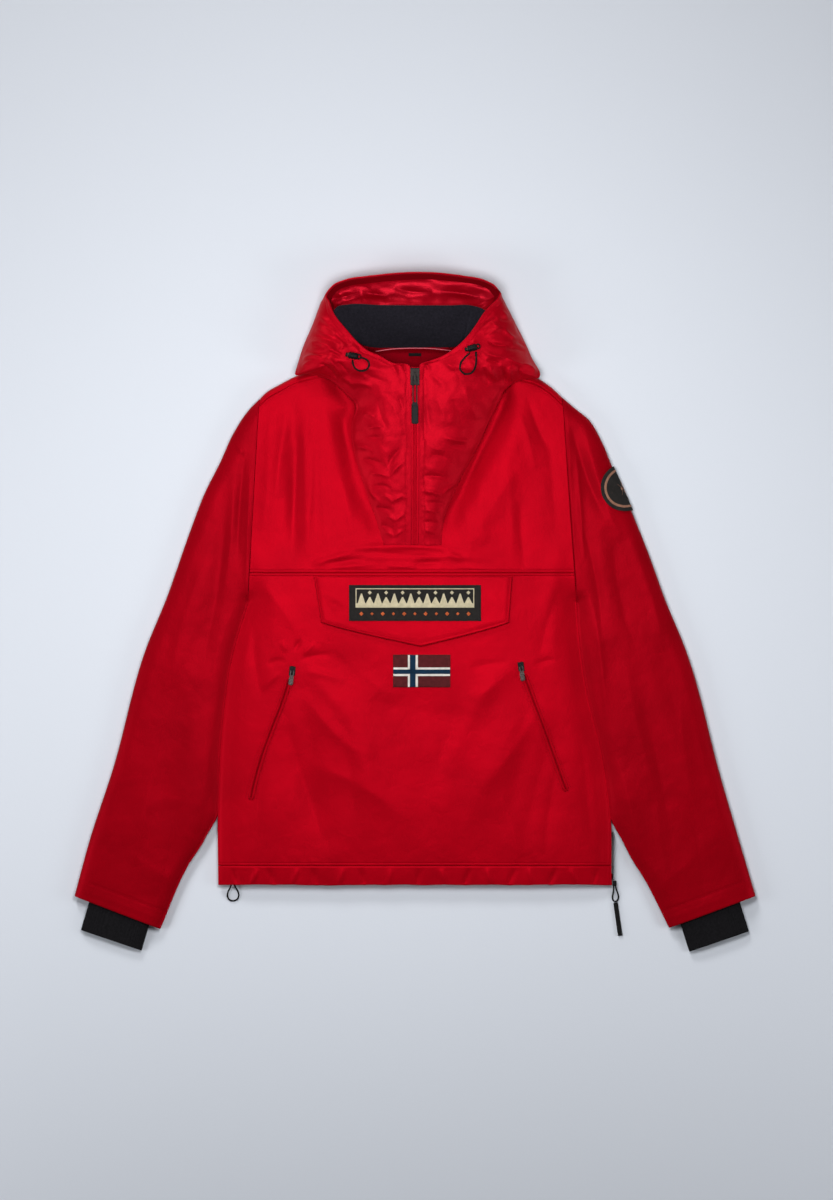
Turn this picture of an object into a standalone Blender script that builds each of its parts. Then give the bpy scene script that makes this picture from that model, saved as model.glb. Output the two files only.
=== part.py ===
"""Hooded half-zip anorak, laid flat with its front up.

Run with blender --background --python part.py. Sizes in the tables are millimetres.
+X runs to the right of the laid garment, +Y to the hood and +Z up from the surface.
Left and right name the sides as they lie, seen from above.
"""

import math

import bmesh
import bpy
import numpy as np
from mathutils import Matrix, Vector

MM = 0.001

# Driving sizes
CLOTH = 2.5  # padded shell and lining, pressed together
KNIT = 2.0
SEAM_GAP = 0.3
BODY_TOP = 18.0  # height of the laid body
SIDE_SEAM_Z = 8.0  # height at which front and back meet along a side
TOP_ROUND = 20.0  # how far in from a side the front reaches its full height
UNDER_ROUND = 12.0
HEM_Y = -383.5
HEM_SEAM_Y = -356.7
YOKE_SEAM_Y = 53.5
UNDERARM_Y = 12.0
NOTCH_Y = 92.7  # lower end of the V between the hood fronts
HEM_DROP = 3.0
ZIP_HALF_WIDTH = 3.6
ZIP_FOOT_Y = 93.2
ZIP_HEAD_Y = 340.6
ZIP_SLIDER_Y = 327.5
ZIP_DROP = 0.5  # how far the zip lies below the hood's edges
SHOULDER_RADIUS = 9.0
BACK_NECK_X = 118.0
BACK_NECK_Y = (326.0, 46.0)  # height of the neck curve's ends, and its rise between them
FRONT_NECK = (105.0, 331.0)  # half width and height of the front neck, under the hood
YOKE_TUCK = 2.4  # how far the yoke stops short of the turned shoulder
CORD_MM = 2.6
HEM_CORD_MM = 2.2

# Side lines from hem to shoulder: x, y
LEFT_SIDE = ((-275.7, -384), (-276.2, -280), (-270.8, -170), (-255.4, -61), (-233.7, 12))
RIGHT_SIDE = ((275.9, -384), (273.8, -280), (260.5, -193), (242.3, -119), (229.5, -30), (226.5, 12))
LEFT_ARMHOLE = ((-233.7, 12), (-229.0, 97), (-224.5, 180), (-217.6, 297))
RIGHT_ARMHOLE = ((226.5, 12), (219.0, 110), (212.5, 205), (206.5, 299))
# Shoulder line of the outline, from the armhole to the neck: x, y
LEFT_SHOULDER = ((-217.6, 297), (-207.6, 306.9), (-190, 317), (-165.8, 329.3), (-140, 337), (-105, 342))
RIGHT_SHOULDER = ((206.5, 299), (190.4, 313.9), (171.0, 326.5), (150, 333), (128, 338), (105, 342))
# Sleeve outlines: x, y
LEFT_SLEEVE_OUTER = (
    (-217.6, 297), (-230.2, 284.5), (-256.1, 245.3), (-271.9, 210.3), (-294.4, 165.5), (-316.8, 106.7),
    (-349, 15.7), (-376, -50.1), (-423.6, -222.3), (-455.7, -320.3), (-476.8, -398),
)
LEFT_SLEEVE_INNER = (
    (-234.4, 12), (-257.8, -61), (-274.4, -170), (-280.2, -283), (-294.6, -320.3),
    (-317.7, -356.7), (-356.2, -444.2),
)
RIGHT_SLEEVE_OUTER = (
    (206.5, 299), (224, 284), (243.5, 268), (260, 241), (276.4, 202), (299.7, 148.7), (329, 76),
    (350.8, 15.7), (378, -50.1), (429.4, -236.3), (445.8, -292.3), (477, -397.7),
)
RIGHT_SLEEVE_INNER = (
    (227.6, 12), (231.6, -30), (244.5, -119), (262.9, -193), (276.8, -283), (302.5, -345.5),
    (319.3, -372), (355.7, -442.8),
)
# Knit cuffs: outer and inner corner inside the sleeve, then at the open end
LEFT_CUFF = (((-444.5, -365), (-361, -402)), ((-467.6, -445.9), (-382.8, -474.7)))
RIGHT_CUFF = (((443, -367), (360, -401)), ((467.5, -447.7), (384.2, -476.3)))
CUFF_HEIGHT = 10.4
CUFF_FLOOR = 3.0  # the cuff's height inside the sleeve; it comes down to rest at its end
# Edges of the yoke's V notch, from its foot up to the neck: x, y
LEFT_NOTCH = (
    (-43.6, 92.7), (-52.3, 125), (-63.3, 156), (-78.6, 202), (-86.6, 234), (-87.6, 262), (-80, 285),
    (-92, 310), (-105, 331),
)
RIGHT_NOTCH = (
    (37.0, 92.7), (40.9, 129), (63.6, 185), (89.6, 234), (105.5, 270), (113, 300), (110, 318), (105, 331),
)

# Hood halves from the foot of the V round to the brow. Each row is the inner edge (zip, then
# face opening), the outer edge (V seam, then overhang, then outline) and the puff between them.
#  in_x, in_y, in_z, out_x, out_y, out_z, puff
LEFT_HOOD = (
    (-4.6, 93, 20, -43.3, 93, 18, 2),
    (-4.6, 125, 25.5, -52, 125, 18, 4),
    (-4.6, 156, 30.5, -63, 156, 18, 6),
    (-4.6, 202, 37, -78.3, 202, 18.5, 8),
    (-4.6, 234, 41, -86.3, 234, 19, 9),
    (-4.6, 270, 45, -87.2, 262, 21, 10),
    (-4.6, 306, 48.3, -80, 288, 28, 9),
    (-4.7, 332, 50, -92, 303, 30, 9),
    (-7.0, 342, 50.5, -104, 315, 30.5, 10),
    (-31, 346.6, 51, -122, 327, 30, 12),
    (-50, 357, 51.5, -148, 332, 29, 13),
    (-66, 364, 51.5, -163, 331, 27, 15),
    (-80, 375.5, 51, -165, 338, 24, 16),
    (-95, 392, 50, -161, 354.5, 15, 16),
    (-103, 401, 49, -155, 373, 11, 13),
    (-110, 409, 48, -146, 394, 10, 10),
    (-117.5, 422, 46, -137, 415, 9.2, 7),
    (-121, 443, 44, -126.5, 443, 8.6, 3),
    (-114, 452.5, 42, -116, 456, 8.6, 1.5),
    (-98, 460.5, 41, -99, 464, 8.6, 1.5),
    (-62, 467, 40, -62.5, 470, 8.6, 1.5),
)
RIGHT_HOOD = (
    (4.6, 93, 20, 36.3, 93, 18, 2),
    (4.6, 130, 26.4, 40.2, 129, 18, 4),
    (4.6, 185, 34.8, 62.6, 185, 18, 7),
    (4.6, 234, 41, 88.6, 234, 19, 9),
    (4.6, 275, 45.5, 104.6, 270, 21, 10),
    (4.6, 308, 48.4, 116, 296, 26.5, 9),
    (4.7, 334, 50, 125, 312, 29, 9),
    (7.0, 344, 50.5, 135, 320, 29.5, 10),
    (20, 349, 51, 150, 324.5, 29.5, 12),
    (38, 356, 51.5, 163, 326.5, 29, 13),
    (57.5, 368.5, 51.5, 171, 328, 27, 15),
    (70, 380, 51, 172.8, 336, 24, 16),
    (85, 399, 50, 163, 355, 15, 15),
    (98, 418, 49, 152, 380, 11, 12),
    (108, 428, 47, 139, 406, 10, 9),
    (117.5, 437, 45, 130.5, 423, 9, 6),
    (119, 446.5, 43, 122.5, 440, 8.6, 3),
    (112, 452, 42, 113.5, 454.6, 8.6, 1.5),
    (101, 458.5, 41, 102, 462, 8.6, 1.5),
    (62, 467, 40, 62.5, 471, 8.6, 1.5),
)
HOOD_CENTRE = (
    (-61.7, 467, 40, -62.2, 470, 8.6, 1.5),
    (-30, 470, 40, -30.5, 473.4, 8.6, 1.5),
    (0, 471.5, 40, 0, 475, 8.6, 1.5),
    (25, 471, 40, 25.5, 474.6, 8.6, 1.5),
    (61.7, 467, 40, 62.2, 471, 8.6, 1.5),
)
# Outline of the folded crown under the hood: x, y
CROWN_LEFT = ((-162, 347), (-155, 373), (-146, 394), (-137, 415), (-123, 446))
CROWN_RIGHT = ((164, 347), (152, 380), (139, 406), (130, 423), (119, 446))
CROWN_TOP = (
    (-123, 446), (-114, 457), (-99, 464.5), (-62, 471), (0, 476), (62, 471.5), (102, 462), (119, 446),
)
CROWN_LOW = ((-162, 347), (-110, 366), (-50, 378), (0, 381), (50, 378), (110, 366), (164, 347))
CROWN_TOP_Z = 8.4
# Layered rim of the crown, from the surface up: inset, height
CROWN_RIM = ((1.2, 0.0), (0.0, 1.6), (0.2, 3.6), (1.6, 4.4), (0.0, 5.3), (0.4, 8.2))

# Fleece collar band: top edge x, y, z, then lower edge x, y, z
COLLAR = (
    (-106, 394, 37, -82, 377, 21),
    (-115, 411, 37, -77, 375, 17.5),
    (-108, 424, 36, -70, 371.5, 14),
    (-92, 427.5, 34, -58, 369.5, 10.5),
    (-50, 426.5, 33, -35, 369, 9),
    (0, 426, 33, 0, 369, 9),
    (50, 426, 33, 35, 369.5, 9),
    (78, 426, 34, 54, 370, 10.5),
    (95, 420.5, 36, 64, 372.5, 14),
    (105, 409, 37, 72, 376, 17.5),
    (100, 395, 37, 76, 379, 21),
)

# Neck facing, from inside the back up to the collar's seam: y, z
NECK_FACING = ((330, 4.5), (345, 4.6), (357, 5.0), (362.5, 5.5), (368.6, 8.6))

# Large soft folds of the body's front: from x, y to x, y, half width, height, sideways bow
BODY_FOLDS = (
    (-172, 300, -176, 80, 9, -2.4, 4),
    (-150, 290, -150, 75, 8, 1.6, -4),
    (-120, 300, -84, 190, 13, -3.0, 8),
    (-84, 240, -46, 84, 11, -2.2, 4),
    (128, 312, 60, 150, 12, -3.6, -4),
    (160, 300, 112, 120, 16, 1.8, -6),
    (-95, 87, 60, 86, 4, 2.2, 4),
    (-75, 80, 75, 78, 4, -1.6, 3),
    (-105, 73, 110, 72, 5, 1.4, 6),
    (-230, 90, -190, -60, 16, 1.8, 8),
    (205, 110, 190, -70, 14, 1.8, -6),
    (-160, -75, -60, -210, 14, 1.8, 10),
    (-150, -100, -130, -300, 14, -1.8, -8),
    (140, -60, 40, -230, 16, 1.8, -10),
    (160, -100, 120, -320, 15, -1.6, 8),
    (-60, -160, -80, -340, 18, 1.2, 0),
    (40, -200, 50, -345, 16, 1.2, 0),
)
LEFT_SLEEVE_FOLDS = (
    (-262, 180, -300, -60, 14, -1.6, 8),
    (-290, 120, -345, -120, 16, 1.2, 6),
    (-300, -90, -372, -330, 16, -1.2, -6),
)
RIGHT_SLEEVE_FOLDS = (
    (212, 230, 246, 150, 12, -1.6, -4),
    (252, 190, 290, -40, 16, 1.2, -8),
    (320, -40, 402, -300, 17, 1.2, -4),
)

# Pocket openings on the front body, from the slider down: x, y
LEFT_POCKET = (
    (-174.5, -92), (-187.5, -131.3), (-199.5, -162.1), (-214.8, -204.1), (-226, -245), (-230, -264),
)
RIGHT_POCKET = (
    (151.5, -86), (164.9, -122.9), (178.5, -158.6), (191.9, -195.7), (207.3, -238.4), (214.3, -251.7),
)
POCKET_HALF_WIDTH = 4.8

# Flap under the yoke seam: half widths at its top and foot, its sides' and its point's reach
FLAP_TOP_Y = 48.5
FLAP_TOP_X = (-141.4, 136.6)
FLAP_FOOT_X = (-131.0, 131.5)
FLAP_FOOT_Y = -15.5
FLAP_POINT = (8.5, -49.4)
LABEL_BOX = (-92.3, -13.7, 92.5, 36.7)  # low x, low y, high x, high y
FLAG_BOX = (-30.7, -106.5, 49.7, -60.8)
BADGE_RADIUS = 33.5
BADGE_Y = 171.6
BADGE_THICK = 0.8
BADGE_GAP = 2.0
# Where the badge has points across it, as shares of its half width from the sleeve's edge
BADGE_SHARES = (-1.0, -0.6, -0.32, -0.16, -0.06, 0.0, 0.07, 0.17, 0.32, 0.6, 1.0)

# Cord routes: x, y, then height above what they lie on
LEFT_LOCK = (-86.0, 355.5, -0.18)  # x, y, turn
RIGHT_LOCK = (80.6, 366.5, 0.25)
LEFT_LOOP = ((-75.2, 353.4), (-70.5, 352.4), (-65.0, 348.3), (-64.0, 342.0), (-69.0, 336.2), (-77.0, 335.3),
             (-83.8, 339.5), (-86.4, 345.0), (-87.0, 350.2))
RIGHT_LOOP = ((76.4, 360.0), (70.0, 354.0), (64.0, 346.0), (63.2, 337.0), (69.5, 331.0), (78.0, 332.0),
              (83.8, 339.5), (85.4, 349.0), (85.0, 361.6))
HEM_LOOP = (
    (-257.0, -379.0, 4.3), (-257.8, -384.4, 4.2), (-259.5, -388.5, 2.8), (-262.3, -394.5, 1.5),
    (-262.6, -400.5, 1.2), (-259.5, -404.8, 1.2), (-254.6, -406.0, 1.2), (-249.5, -404.0, 1.2),
    (-246.9, -398.5, 1.2), (-248.6, -392.0, 1.6), (-251.2, -387.5, 3.0), (-252.6, -384.4, 4.2),
    (-253.2, -379.0, 4.3),
)
SIDE_LOOP = (
    (278.6, -386.0, 5.6), (278.4, -390.5, 3.4), (277.6, -396.0, 1.4), (276.9, -401.5, 1.3),
    (278.6, -406.0, 1.3), (282.2, -406.6, 1.3), (285.2, -402.0, 1.3), (284.4, -396.0, 1.4),
    (282.4, -390.5, 3.4), (281.4, -386.0, 5.6),
)
SIDE_TAB = (281.2, -408.4, 287.8, -455.0)  # from x, y to x, y

# Colours: red, green, blue, roughness, metallic
RED = (0.55, 0.0, 0.012, 0.62, 0.0)
DEEP_RED = (0.42, 0.0, 0.010, 0.70, 0.0)
FLEECE = (0.012, 0.011, 0.017, 0.95, 0.0)
BLACK = (0.012, 0.012, 0.012, 0.55, 0.0)
GREY_METAL = (0.085, 0.07, 0.07, 0.38, 0.8)
PATCH = (0.045, 0.04, 0.03, 0.75, 0.0)
FLAG = (0.13, 0.015, 0.018, 0.75, 0.0)


# ---------------------------------------------------------------- helpers

def clear_scene():
    for old in list(bpy.data.objects):
        bpy.data.objects.remove(old, do_unlink=True)


def material(name, look):
    made = bpy.data.materials.get(name) or bpy.data.materials.new(name)
    made.use_nodes = True
    made.diffuse_color = (*look[:3], 1.0)
    shader = made.node_tree.nodes["Principled BSDF"]
    shader.inputs["Base Color"].default_value = (*look[:3], 1.0)
    shader.inputs["Roughness"].default_value = look[3]
    shader.inputs["Metallic"].default_value = look[4]
    return made


def add_object(name, data, look):
    data.materials.append(material(name + "_material", look))
    made = bpy.data.objects.new(name, data)
    bpy.context.scene.collection.objects.link(made)
    return made


def mesh_object(name, points, faces, look):
    data = bpy.data.meshes.new(name)
    data.from_pydata([tuple(point) for point in np.asarray(points) * MM], [], faces)
    shape = bmesh.new()
    shape.from_mesh(data)
    bmesh.ops.recalc_face_normals(shape, faces=shape.faces)
    shape.to_mesh(data)
    shape.free()
    data.shade_smooth()
    data.set_sharp_from_angle(angle=math.radians(50))
    return add_object(name, data, look)


def smooth_path(rows, count):
    """Points at even steps along a smooth curve through the rows."""
    rows = np.array(rows, float)
    reach = np.linalg.norm(np.diff(rows[:, :3], axis=0), axis=1)
    along = np.concatenate([[0], np.cumsum(reach)])
    slope = np.gradient(rows, along, axis=0)
    at = np.linspace(0, along[-1], count)
    low = np.clip(np.searchsorted(along, at, side="right") - 1, 0, len(rows) - 2)
    span = (along[low + 1] - along[low])[:, None]
    t = (at[:, None] - along[low][:, None]) / span
    return (
        (2 * t**3 - 3 * t**2 + 1) * rows[low]
        + (t**3 - 2 * t**2 + t) * span * slope[low]
        + (3 * t**2 - 2 * t**3) * rows[low + 1]
        + (t**3 - t**2) * span * slope[low + 1]
    )


def x_at(line, y):
    fine = smooth_path(line, 60)
    order = np.argsort(fine[:, 1])
    return np.interp(y, fine[order, 1], fine[order, 0])


def y_at(line, x):
    fine = smooth_path(line, 60)
    order = np.argsort(fine[:, 0])
    return np.interp(x, fine[order, 0], fine[order, 1])


def distance_to(line, x, y):
    """Distance in plan from each point to the line."""
    fine = smooth_path(line, 60)
    best = np.full(np.shape(x), 1e9)
    for (ax, ay), (bx, by) in zip(fine[:-1], fine[1:]):
        run = (bx - ax) ** 2 + (by - ay) ** 2
        t = np.clip(((x - ax) * (bx - ax) + (y - ay) * (by - ay)) / run, 0, 1)
        best = np.minimum(best, np.hypot(x - ax - t * (bx - ax), y - ay - t * (by - ay)))
    return best


def rise(share):
    """A quarter circle from 0 at the edge to 1 from share 1 on."""
    return np.sqrt(1 - np.clip(1 - share, 0, 1) ** 2)


def fold_height(folds, x, y):
    total = np.zeros(np.shape(x))
    for from_x, from_y, to_x, to_y, half_width, height, bow in folds:
        run_x, run_y = to_x - from_x, to_y - from_y
        length = math.hypot(run_x, run_y)
        along = ((x - from_x) * run_x + (y - from_y) * run_y) / length**2
        fade = np.clip(4 * along * (1 - along), 0, 1)
        across = ((y - from_y) * run_x - (x - from_x) * run_y) / length - bow * fade
        total = total + height * fade * np.exp(-((across / half_width) ** 2))
    return total


def grid_normals(grid, wrap):
    """Unit normals of a grid of points, pointing along columns x rows."""
    if wrap:
        across = np.roll(grid, -1, axis=1) - np.roll(grid, 1, axis=1)
    else:
        across = np.gradient(grid, axis=1)
    down = np.gradient(grid, axis=0)
    normal = np.cross(across, down)
    return normal / np.linalg.norm(normal, axis=2, keepdims=True)


def grid_faces(rows, columns, wrap, keep):
    """Faces of the outer grid, of the inner grid behind it, and of the rims between them."""
    faces = []
    edges = {}
    behind = rows * columns
    for row in range(rows - 1):
        for column in range(columns if wrap else columns - 1):
            if keep is not None and not keep[row][column]:
                continue
            beside = (column + 1) % columns
            corners = [
                row * columns + column,
                row * columns + beside,
                (row + 1) * columns + beside,
                (row + 1) * columns + column,
            ]
            faces.append(corners)
            faces.append([behind + corner for corner in reversed(corners)])
            for start, end in zip(corners, corners[1:] + corners[:1]):
                if (end, start) in edges:
                    del edges[(end, start)]
                else:
                    edges[(start, end)] = True
    for start, end in edges:
        faces.append([start, behind + start, behind + end, end])
    return faces


def wall(name, outer, thickness, look, outward=1, wrap=False, keep=None, normals=None):
    """A cloth wall: outer is a grid of points, and the inner side lies a thickness behind it."""
    if normals is None:
        normals = grid_normals(outer, wrap) * outward
    inner = outer - normals * thickness
    rows, columns = outer.shape[:2]
    points = np.concatenate([outer.reshape(-1, 3), inner.reshape(-1, 3)])
    faces = grid_faces(rows, columns, wrap, keep)
    used = sorted({corner for face in faces for corner in face})
    index = {corner: place for place, corner in enumerate(used)}
    return mesh_object(name, points[used], [[index[corner] for corner in face] for face in faces], look)


def plate_on(name, plan, lift, thickness, look, surface):
    """A flat piece that lies on a surface: its points moved out by lift, then by its thickness."""
    x, y = plan[..., 0], plan[..., 1]
    lower = np.stack([x, y, surface(x, y) + lift], axis=-1)
    upper = lower + np.array([0, 0, thickness])
    normals = np.zeros(upper.shape)
    normals[..., 2] = 1
    return wall(name, upper, thickness, look, normals=normals)


def spaced(low, high, steps, middle):
    """Close steps in from both ends, and even ones between."""
    steps = np.array(steps, float)
    between = np.linspace(low + steps[-1], high - steps[-1], middle + 2)[1:-1]
    return np.concatenate([low + steps, between, (high - steps)[::-1]])


EDGE_STEPS = (0, 1.0, 4.0, 9.5, 18.0)


# ---------------------------------------------------------------- body

def side_distance(x, y):
    return np.minimum(distance_to(LEFT_SIDE, x, y), distance_to(RIGHT_SIDE, x, y))


def front_top(x, y):
    """Height of the front's outer surface."""
    edge = side_distance(x, y)
    top = BODY_TOP + fold_height(BODY_FOLDS, x, y) * rise(edge / 60)
    top = top - HEM_DROP * np.clip(1 - (y - HEM_Y) / 60, 0, 1) ** 2
    return SIDE_SEAM_Z + SEAM_GAP / 2 + (top - SIDE_SEAM_Z) * rise(edge / TOP_ROUND)


def side_x(side, armhole, y):
    return np.where(y < UNDERARM_Y, x_at(side, y), x_at(armhole, y))


def front_grid(levels, middle):
    grid = []
    for y in levels:
        left = side_x(LEFT_SIDE, LEFT_ARMHOLE, y) + SEAM_GAP / 2
        right = side_x(RIGHT_SIDE, RIGHT_ARMHOLE, y) - SEAM_GAP / 2
        x = spaced(left, right, EDGE_STEPS, middle)
        y_row = np.full(len(x), y)
        grid.append(np.stack([x, y_row, front_top(x, y_row)], axis=1))
    return np.array(grid)


def make_front_body():
    low_y, high_y = HEM_SEAM_Y + SEAM_GAP / 2, YOKE_SEAM_Y - SEAM_GAP / 2
    levels = np.concatenate([np.linspace(low_y, UNDERARM_Y, 15), np.linspace(UNDERARM_Y, high_y, 4)[1:]])
    wall("front_body", front_grid(levels, 15), CLOTH, RED)


def yoke_half(level, share, shoulder, side, armhole, seam, notch_x, notch_y):
    """A point of one yoke half: share 0 lies on its side, share 1 on the V notch."""
    low_y = YOKE_SEAM_Y + SEAM_GAP / 2
    corner_x = shoulder[0][0]
    top_x = corner_x + share * (math.copysign(FRONT_NECK[0], corner_x) - corner_x)
    top_y = y_at(shoulder, top_x) - SHOULDER_RADIUS - YOKE_TUCK - share * 0.4
    y = low_y + level * (top_y - low_y)
    x = side_x(side, armhole, y) + seam
    return x + share * (notch_x - x), y + share**4 * (notch_y - y)


def make_front_yoke():
    rows = 15
    strip = 9
    low_y = YOKE_SEAM_Y + SEAM_GAP / 2
    reach = FRONT_NECK[1] - low_y
    notch_row = 2
    shares = np.concatenate([[0, 0.03, 0.1], np.linspace(0.2, 1, strip - 3)])
    foot = (NOTCH_Y - low_y) / reach
    levels = np.concatenate([np.linspace(0, foot, notch_row + 1), np.linspace(foot, 1, rows - notch_row)[1:]])
    left = (LEFT_SHOULDER, LEFT_SIDE, LEFT_ARMHOLE, SEAM_GAP / 2)
    right = (RIGHT_SHOULDER, RIGHT_SIDE, RIGHT_ARMHOLE, -SEAM_GAP / 2)
    grid = []
    for level in levels:
        notch_y = low_y + level * reach
        left_x = float(x_at(LEFT_NOTCH, max(notch_y, NOTCH_Y)))
        right_x = float(x_at(RIGHT_NOTCH, max(notch_y, NOTCH_Y)))
        row = [yoke_half(level, share, *left, left_x, notch_y) for share in shares]
        row += [(left_x + u * (right_x - left_x), notch_y) for u in (1 / 3, 2 / 3)]
        row += [yoke_half(level, share, *right, right_x, notch_y) for share in shares[::-1]]
        grid.append(row)
    plan = np.array(grid)
    x, y = plan[..., 0], plan[..., 1]
    outer = np.stack([x, y, front_top(x, y)], axis=-1)
    columns = outer.shape[1]
    keep = [
        [row < notch_row or not strip - 1 <= column < columns - strip for column in range(columns - 1)]
        for row in range(rows - 1)
    ]
    wall("front_yoke", outer, CLOTH, RED, keep=keep)


def back_under(x, y):
    """Height of the back's outer surface, which lies on the floor but at the side seams."""
    return (SIDE_SEAM_Z - SEAM_GAP / 2) * (1 - rise(side_distance(x, y) / UNDER_ROUND))


def shoulder_y(x):
    return np.where(x < 0, y_at(LEFT_SHOULDER, x), y_at(RIGHT_SHOULDER, x))


def make_back_panel():
    """The back, whose shoulder strips wrap over the shoulder line to the front."""
    low_y = HEM_SEAM_Y + SEAM_GAP / 2
    under_rows = 12
    turns = 7
    neck = BACK_NECK_X
    left_end, right_end = LEFT_SHOULDER[0][0] + 0.8, RIGHT_SHOULDER[0][0] - 0.8
    top_x = np.concatenate([
        np.linspace(left_end, -neck, 6), np.linspace(-neck, neck, 10)[1:-1], np.linspace(neck, right_end, 6),
    ])
    arc = np.sqrt(np.clip(1 - (top_x / neck) ** 2, 0, 1))
    flat_top = np.where(
        np.abs(top_x) < neck, BACK_NECK_Y[0] + BACK_NECK_Y[1] * arc, shoulder_y(top_x) - SHOULDER_RADIUS
    )
    share = (top_x - top_x[0]) / (top_x[-1] - top_x[0])
    grid = []
    underarm = (UNDERARM_Y - low_y) / (flat_top[0] - low_y)
    for level in np.concatenate([np.linspace(0, underarm, 8), np.linspace(underarm, 1, 5)[1:]]):
        y = low_y + level * (flat_top - low_y)
        left = side_x(LEFT_SIDE, LEFT_ARMHOLE, y) + SEAM_GAP / 2
        right = side_x(RIGHT_SIDE, RIGHT_ARMHOLE, y) - SEAM_GAP / 2
        steps = np.concatenate([EDGE_STEPS[:4], -np.array(EDGE_STEPS[:4])[::-1]])
        x = left + share * (right - left)
        x[:4] = left[:4] + steps[:4]
        x[-4:] = right[-4:] + steps[4:]
        x = x * (1 - level**3) + top_x * level**3
        grid.append(np.stack([x, y, back_under(x, y)], axis=1))
    for turn in range(1, turns + 1):
        angle = math.pi * min(turn, turns - 1) / (turns - 1)
        y = flat_top + SHOULDER_RADIUS * math.sin(angle) - (0.4 if turn == turns else 0.0)
        z = SHOULDER_RADIUS * (1 - math.cos(angle)) + np.zeros(len(top_x))
        grid.append(np.stack([top_x, y, z], axis=1))
    keep = [
        [row < under_rows - 1 or abs(top_x[column] + top_x[column + 1]) / 2 > neck
         for column in range(len(top_x) - 1)]
        for row in range(len(grid) - 1)
    ]
    wall("back_panel", np.array(grid), CLOTH, RED, outward=-1, keep=keep)


def make_hem_band():
    """One turned casing round front and back, open below and into the body."""
    rows = []
    for y in np.linspace(HEM_Y, HEM_SEAM_Y - SEAM_GAP / 2, 4):
        left = x_at(LEFT_SIDE, y) + SEAM_GAP / 2
        right = x_at(RIGHT_SIDE, y) - SEAM_GAP / 2
        over_x = spaced(left, right, EDGE_STEPS, 13)
        under_x = spaced(left, right, (0, 2.5, 8.0), 5)[::-1][1:-1]
        over_z = front_top(over_x, np.full(len(over_x), y))
        under_z = back_under(under_x, np.full(len(under_x), y))
        ring_x = np.concatenate([over_x, under_x])
        ring_z = np.concatenate([over_z, under_z])
        rows.append(np.stack([ring_x, np.full(len(ring_x), y), ring_z], axis=1))
    wall("hem_band", np.array(rows), CLOTH, RED, wrap=True)


# ---------------------------------------------------------------- sleeves

SLEEVE_ROWS = 17
BADGE_LIFT = 5.6  # how far the sleeve's underside rises at its edge, where the badge goes round


def sleeve_plan(outer, inner, share):
    """Outer and inner end of the section at a share of the sleeve's length."""
    fine_outer = smooth_path(outer, 200)
    fine_inner = smooth_path(inner, 200)
    at_outer = np.array([np.interp(share * 199, range(200), fine_outer[:, axis]) for axis in (0, 1)])
    lag = share**1.6 * 199
    at_inner = np.array([np.interp(lag, range(200), fine_inner[:, axis]) for axis in (0, 1)])
    return at_outer, at_inner


def sleeve_heights(outer, inner, folds, x, y, under):
    """Height of a sleeve's upper surface, or of its underside."""
    from_outer = distance_to(outer, x, y)
    edge = np.minimum(from_outer, distance_to(inner, x, y))
    if under:
        near_badge = (x > 0) * np.clip(2 - np.abs(y - BADGE_Y) / 44, 0, 1) * BADGE_LIFT
        lift = near_badge * np.clip(1 - from_outer / 70, 0, 1)
        return lift + (SIDE_SEAM_Z - lift) * (1 - rise(edge / UNDER_ROUND))
    top = BODY_TOP + fold_height(folds, x, y) * rise(edge / 60)
    top = top - 1.5 * np.clip((-y - 250) / 150, 0, 1)
    return SIDE_SEAM_Z + (top - SIDE_SEAM_Z) * rise(edge / TOP_ROUND)


def sleeve_half(outer, inner, folds, sign, steps, middle, under):
    """Points of a sleeve's upper half from its outer edge inward, or of its underside back out."""
    grid = []
    for share in np.linspace(0, 1, SLEEVE_ROWS):
        start, end = sleeve_plan(outer, inner, share)
        width = np.linalg.norm(end - start)
        start = start + (end - start) * SEAM_GAP / 2 / width
        across = spaced(0, width - SEAM_GAP, steps, middle)
        if under:
            across = across[::-1]
        plan = start + np.outer(across / width, end - start)
        z = sleeve_heights(outer, inner, folds, plan[:, 0], plan[:, 1], under)
        z += -SEAM_GAP / 2 if under else SEAM_GAP / 2
        plan[:, 0] += sign * SEAM_GAP * (1 - share) ** 6
        grid.append(np.column_stack([plan, np.maximum(z, 0)]))
    return np.array(grid)


def sleeve_halves(outer, inner, folds, sign):
    upper = sleeve_half(outer, inner, folds, sign, EDGE_STEPS, 6, False)
    return upper, sleeve_half(outer, inner, folds, sign, (0, 2.5, 8.0), 3, True)


def make_sleeve(name, outer, inner, folds, sign):
    """Upper and under half, which meet along both edges of the sleeve."""
    for half, ending in zip(sleeve_halves(outer, inner, folds, sign), ("", "_under")):
        normals = grid_normals(half, False) * sign
        normals[:, [0, -1], 2] = 0
        normals /= np.linalg.norm(normals, axis=2, keepdims=True)
        wall(name + ending, half, CLOTH, RED, normals=normals)


def make_knit_cuff(name, corners, sign):
    """A ribbed inner cuff: a flat tube from inside the sleeve to its open end."""
    (outer_in, inner_in), (outer_out, inner_out) = np.array(corners, float)
    grid = []
    for share in (0, 0.25, 0.5, 0.75, 1):
        start = outer_in + (outer_out - outer_in) * share
        end = inner_in + (inner_out - inner_in) * share
        floor = CUFF_FLOOR * (1 - max(0.0, share - 0.45) / 0.55) ** 1.5
        angles = np.linspace(0, 2 * math.pi, 18, endpoint=False)
        swing = np.sign(np.cos(angles)) * np.abs(np.cos(angles)) ** 0.55
        lift = np.sign(np.sin(angles)) * np.abs(np.sin(angles)) ** 0.75
        plan = start + np.outer((1 - swing) / 2, end - start)
        grid.append(np.column_stack([plan, floor + CUFF_HEIGHT / 2 * (1 + lift)]))
    wall(name, np.array(grid), KNIT, BLACK, outward=sign, wrap=True)


# ---------------------------------------------------------------- hood

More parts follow.
